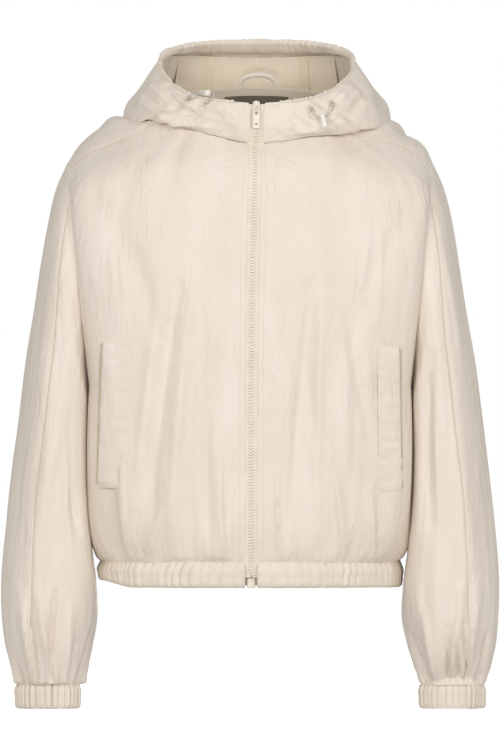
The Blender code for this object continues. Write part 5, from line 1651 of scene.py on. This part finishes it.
@dataclass(frozen=True)
class PocketWelts:
    """Long narrow welts sewn at their inner edge and ends, open towards the sides."""

    cells: tuple[int, int] = (20, 120)
    lift: float = 0.0014
    gape: float = 0.0022
    wall: float = 0.0014
    roll: float = 0.0004
    end_hold: float = 0.012
    stitch_inset: float = 0.0024
    mouth_cells: tuple[int, int] = (8, 150)
    mouth_wall: float = 0.0006
    mouth_lift: float = 0.0009
    mouth_across: tuple[float, float] = (0.90, 0.25)
    mouth_up: tuple[float, float] = (0.03, 0.94)

    puckers = Ripple(0.0006, 0.007, 1 / 1.5, 101)
    mouth_puckers = Ripple(0.0004, 0.006, 1.0, 105)
    welts = {
        # side: outer top x, inner top x, top z, outer foot x, inner foot x, foot z
        Side.RIGHT: (0.1830, 0.1510, -0.282, 0.1890, 0.1600, -0.468),
        Side.LEFT: (0.1835, 0.1575, -0.289, 0.1865, 0.1600, -0.474),
    }

    def build(self) -> None:
        """Makes both welts with their stitches."""
        for side in Side:
            self.build_welt(side)

    def build_welt(self, side: Side) -> None:
        """Makes one welt on its front."""
        outer_top, inner_top, top, outer_foot, inner_foot, foot = self.welts[side]

        def base(across: Array, up: Array) -> Array:
            z = foot + (top - foot) * up
            inner = inner_foot + (inner_top - inner_foot) * up
            outer = outer_foot + (outer_top - outer_foot) * up
            start = ZIP_OPENING
            share = (inner + (outer - inner) * across - start) / (BODY.side_x(z) - start)
            turn = np.arcsin(np.clip(share, 0, 1) ** (1 / BODY.section_power))
            return BODY.front(side)(turn * 2 / math.pi, BODY.row_share(z))
        cloth = Cloth(base, side.value)

        def height(across: Array, up: Array, points: Array) -> Array:
            sewn = ease(np.minimum(up, 1 - up) * cloth.length / self.end_hold)
            pucker = self.puckers.rise(up * cloth.length, across, side.value)
            roll = self.roll * np.sin(math.pi * np.clip(across, 0, 1)) ** 0.5
            return (self.lift + roll + (self.gape * ease(across) + pucker) * sewn
                    + cloth.edge_roll(across, up, "lbt", 0.0006))
        surface = cloth.raised(height)
        piece = cloth.laid(f"welt_cloth_{side.label}", surface, self.cells, self.wall, NYLON)
        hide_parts(f"welt_{side.label}")
        self.build_mouth(side, base)
        a, b = self.stitch_inset / cloth.width, self.stitch_inset / cloth.length
        lines = ((a, b), (a, 1 - b)), ((a, b), (1 - a, b)), ((a, 1 - b), (1 - a, 1 - b))
        rows = [STITCHES.row(f"welt_stitches_{side.label}_{number}", surface, share_line(*ends), side.value)
                for number, ends in enumerate(lines)]
        declare_sheet(surface)

    def build_mouth(self, side: Side, base: Surface) -> None:
        """Lays a darker strip in the mouth beside the welt's free edge: the pocket bag's cloth, with
        painted shade for the shadowed opening.
        """
        (inner, width), (foot, rise) = self.mouth_across, self.mouth_up
        cloth = Cloth(lambda across, up: base(inner + width * across, foot + rise * up), side.value)
        surface = cloth.raised(lambda across, up, points: self.mouth_lift + self.mouth_puckers.rise(
            up * cloth.length, across) * ease(across * 4))
        # The strip's darker colour is painted shade in the pocket's opening
        piece = cloth.laid(f"pocket_mouth_{side.label}", surface, self.mouth_cells, self.mouth_wall,
                           POCKETING_AND_SHADE)


@dataclass(frozen=True)
class Drawcord:
    """On each side a short cord runs from eyelet to eyelet through a barrel lock."""

    radius: float = 0.0011
    points: int = 40
    eyelet_radius: float = 0.0047
    eyelet_hole: float = 0.0026
    end_lift: float = 0.0010
    rise: float = 0.0034
    lock_radius: float = 0.0037
    lock_length: float = 0.0170
    lock_round: float = 0.0009
    hole_room: float = 0.0007
    hole_lead: float = 0.0012
    eyelet_flatness: float = 0.75
    eyelet_lift: float = 0.0010

    eyelets = {Side.RIGHT: ((-37.5, 0.870), (-25.8, 0.860)), Side.LEFT: ((40.0, 0.777), (27.5, 0.755))}
    locks = {
        # side: middle, axis, way of the cord's hole, place of the hole along the axis
        Side.RIGHT: ((-0.0565, -0.0905, 0.0258), (0.50, -0.866, 0.0), (0.866, 0.50, 0.0), 0.0),
        Side.LEFT: ((0.0919, -0.1005, -0.0088), (0.24, 0.0, -0.97), (-0.97, 0.0, -0.24), -0.0043),
    }
    bends = {
        Side.RIGHT: ((-0.0680, -0.0962, 0.0245), (-0.0455, -0.0955, 0.0220)),
        Side.LEFT: ((0.1015, -0.0965, 0.0020), (0.0805, -0.1010, -0.0030)),
    }

    @staticmethod
    def eyelet_frame(turn: float, along: float) -> tuple[Array, Array]:
        """An eyelet's place on the hood and the way it faces."""
        at = (np.array([math.radians(turn)]), np.array([along]))
        return HOOD.point(*at)[0], normals_of(HOOD.point, *at)[0]

    def route(self, side: Side) -> Array:
        """The cord's line from eyelet to eyelet."""
        ends = []
        for turn, along in self.eyelets[side]:
            middle, facing = self.eyelet_frame(turn, along)
            ends.append((middle + self.end_lift * facing, middle + self.rise * facing))
        middle, axis, way, place = self.locks[side]
        hole = np.array(middle) + place * np.array(axis)
        reach = (self.lock_radius + self.hole_lead) * np.array(way)
        before, after = self.bends[side]
        knots = np.array([*ends[0], before, hole - reach, hole, hole + reach, after, *ends[1][::-1]])
        run = Cloth.reach(knots)
        at = np.linspace(0, run[-1], self.points)
        return stack(*[smooth(run, knots[:, axis], at) for axis in range(3)])

    def build_cord(self, side: Side, lock: bpy.types.Object) -> None:
        """Makes the cord as a round curve."""
        path = self.route(side)
        curve = bpy.data.curves.new(f"cord_{side.label}", "CURVE")
        curve.dimensions = "3D"
        curve.bevel_depth = self.radius
        curve.bevel_resolution = 4
        curve.use_fill_caps = True
        spline = curve.splines.new("POLY")
        spline.points.add(len(path) - 1)
        for point, place in zip(spline.points, path):
            point.co = (*place, 1.0)
        spline.use_smooth = True
        piece = bpy.data.objects.new(f"cord_{side.label}", curve)
        bpy.context.collection.objects.link(piece)
        dress(piece, CORD)
        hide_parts(f"drawcord_{side.label}")
        float(Cloth.reach(path)[-1])

    def build_eyelet(self, name: str, node: str, turn: float, along: float) -> None:
        """Makes a rolled metal eyelet."""
        middle, facing = self.eyelet_frame(turn, along)
        deselect()
        half = (self.eyelet_radius - self.eyelet_hole) / 2
        bpy.ops.mesh.primitive_torus_add(major_radius=self.eyelet_hole + half, minor_radius=half,
                                         major_segments=40, minor_segments=14)
        piece = bpy.context.object
        piece.name = piece.data.name = name
        turned = Vector(facing).to_track_quat("Z", "Y").to_matrix().to_4x4()
        flat = Matrix.Diagonal((1.0, 1.0, self.eyelet_flatness, 1.0))
        piece.data.transform(Matrix.Translation(middle + self.eyelet_lift * facing) @ turned @ flat)
        bpy.ops.object.shade_smooth()
        dress(piece, ENAMEL)
        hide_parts(node)

    def build_lock(self, side: Side) -> bpy.types.Object:
        """Makes a barrel lock with rounded ends and a hole for the cord."""
        middle, axis, way, place = self.locks[side]
        deselect()
        bpy.ops.mesh.primitive_cylinder_add(vertices=40, radius=self.lock_radius, depth=self.lock_length)
        piece = bpy.context.object
        piece.name = piece.data.name = f"barrel_lock_{side.label}"
        bpy.ops.object.mode_set(mode="EDIT")
        bpy.ops.mesh.select_all(action="SELECT")
        bpy.ops.mesh.bevel(offset=self.lock_round, segments=3, affect="EDGES", clamp_overlap=True)
        bpy.ops.object.mode_set(mode="OBJECT")
        turned = Vector(axis).to_track_quat("Z", "Y").to_matrix().to_4x4()
        piece.data.transform(Matrix.Translation(middle) @ turned)
        hole = np.array(middle) + place * np.array(axis)
        bpy.ops.mesh.primitive_cylinder_add(vertices=24, radius=self.radius + self.hole_room,
                                            depth=4 * self.lock_radius)
        cutter = bpy.context.object
        cutter.data.transform(Matrix.Translation(hole)
                              @ Vector(way).to_track_quat("Z", "Y").to_matrix().to_4x4())
        deselect()
        piece.select_set(True)
        bpy.context.view_layer.objects.active = piece
        cut = piece.modifiers.new("cord_hole", "BOOLEAN")
        cut.object = cutter
        cut.operation = "DIFFERENCE"
        bpy.ops.object.modifier_apply(modifier=cut.name)
        bpy.data.objects.remove(cutter)
        bpy.ops.object.shade_smooth_by_angle(angle=math.radians(35))
        dress(piece, BARREL)
        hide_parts(f"cord_lock_{side.label}")
        return piece

    def build(self) -> None:
        """Makes both sides."""
        for side in Side:
            self.build_cord(side, self.build_lock(side))
            for place, (turn, along) in zip(("outer", "inner"), self.eyelets[side]):
                name = f"{place}_{side.label}"
                self.build_eyelet(f"ring_{name}", f"eyelet_{name}", turn, along)


@dataclass(frozen=True)
class Studio:
    """Pale floor, soft light, white surroundings and a long lens from the front."""

    distance: float = 20.0
    frame_height: float = 0.9375
    centre_z: float = -0.327
    floor_z: float = -0.780
    floor_size: float = 12.0
    daylight: float = 0.50
    sensor_height: float = 36.0
    view_reach: float = 60.0
    front_depth: float = 0.10
    aim_z: float = -0.35

    def build_camera(self) -> None:
        """Sets the camera: level, far off, with the whole jacket in an upright frame."""
        lens = bpy.data.cameras.new("camera")
        lens.sensor_fit = "VERTICAL"
        lens.sensor_height = self.sensor_height
        lens.lens = self.sensor_height * self.distance / self.frame_height
        lens.clip_end = self.view_reach
        lens.dof.use_dof = False
        camera = bpy.data.objects.new("camera", lens)
        camera.location = (0.0, -self.distance - self.front_depth, self.centre_z)
        camera.rotation_euler = (math.pi / 2, 0.0, 0.0)
        bpy.context.collection.objects.link(camera)
        bpy.context.scene.camera = camera

    def build_light(self) -> None:
        """Sets soft daylight before a white ground, and large soft lights."""
        scene = bpy.context.scene
        world = bpy.data.worlds.new("studio")
        world.use_nodes = True
        tree = world.node_tree
        soft = tree.nodes["Background"]
        soft.inputs["Color"].default_value = (1.0, 0.98, 0.94, 1.0)
        soft.inputs["Strength"].default_value = self.daylight
        white = add_node(tree, "ShaderNodeBackground", {"Color": (1.0, 1.0, 1.0, 1.0)})
        seen = add_node(tree, "ShaderNodeLightPath")
        mixed = add_node(tree, "ShaderNodeMixShader", {
            0: seen.outputs["Is Camera Ray"], 1: soft.outputs[0], 2: white.outputs[0]})
        tree.links.new(mixed.outputs[0], tree.nodes["World Output"].inputs["Surface"])
        scene.world = world
        lights = (
            # name, place, size, power
            ("key", (-1.8, -4.2, 1.4), 1.4, 47.0),
            ("fill", (2.5, -4.0, 1.1), 1.4, 50.0),
            ("low", (-0.2, -4.4, -0.52), 0.45, 28.0),
            ("back", (0.5, 4.4, -0.35), 0.7, 34.0),
        )
        for name, place, size, power in lights:
            lamp = bpy.data.lights.new(name, "AREA")
            lamp.size = size
            lamp.energy = power
            light = bpy.data.objects.new(name, lamp)
            light.location = place
            aim = Vector((0.0, 0.0, self.aim_z)) - Vector(place)
            light.rotation_euler = aim.to_track_quat("-Z", "Y").to_euler()
            bpy.context.collection.objects.link(light)
        scene.view_settings.view_transform = "Standard"

    def build_floor(self) -> None:
        """Lays a pale floor under the jacket."""
        def surface(across: Array, up: Array) -> Array:
            return stack(self.floor_size * (across - 0.5), self.floor_size * (up - 0.5), self.floor_z)
        piece = sheet("studio_floor", surface, (2, 2), 0.0, 1, (self.floor_size, self.floor_size))
        piece.data.materials.append(BACKDROP.material())
        piece.visible_diffuse = False
        piece.visible_glossy = False

    def build(self) -> None:
        """Makes the studio."""
        self.build_camera()
        self.build_light()
        self.build_floor()


def write_sizes() -> None:
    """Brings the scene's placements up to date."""
    bpy.context.view_layer.update()


def main() -> None:
    """Builds the studio and every sub-assembly in order."""
    logging.basicConfig(level=logging.INFO, format="%(message)s")
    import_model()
    Studio().build()
    Drawcord().build()
    BodyShell().build()
    SleevePair().build()
    LoweredHood().build()
    NeckFittings().build()
    ZipFastener().build()
    PocketWelts().build()
    write_sizes()


if __name__ == "__main__":
    main()
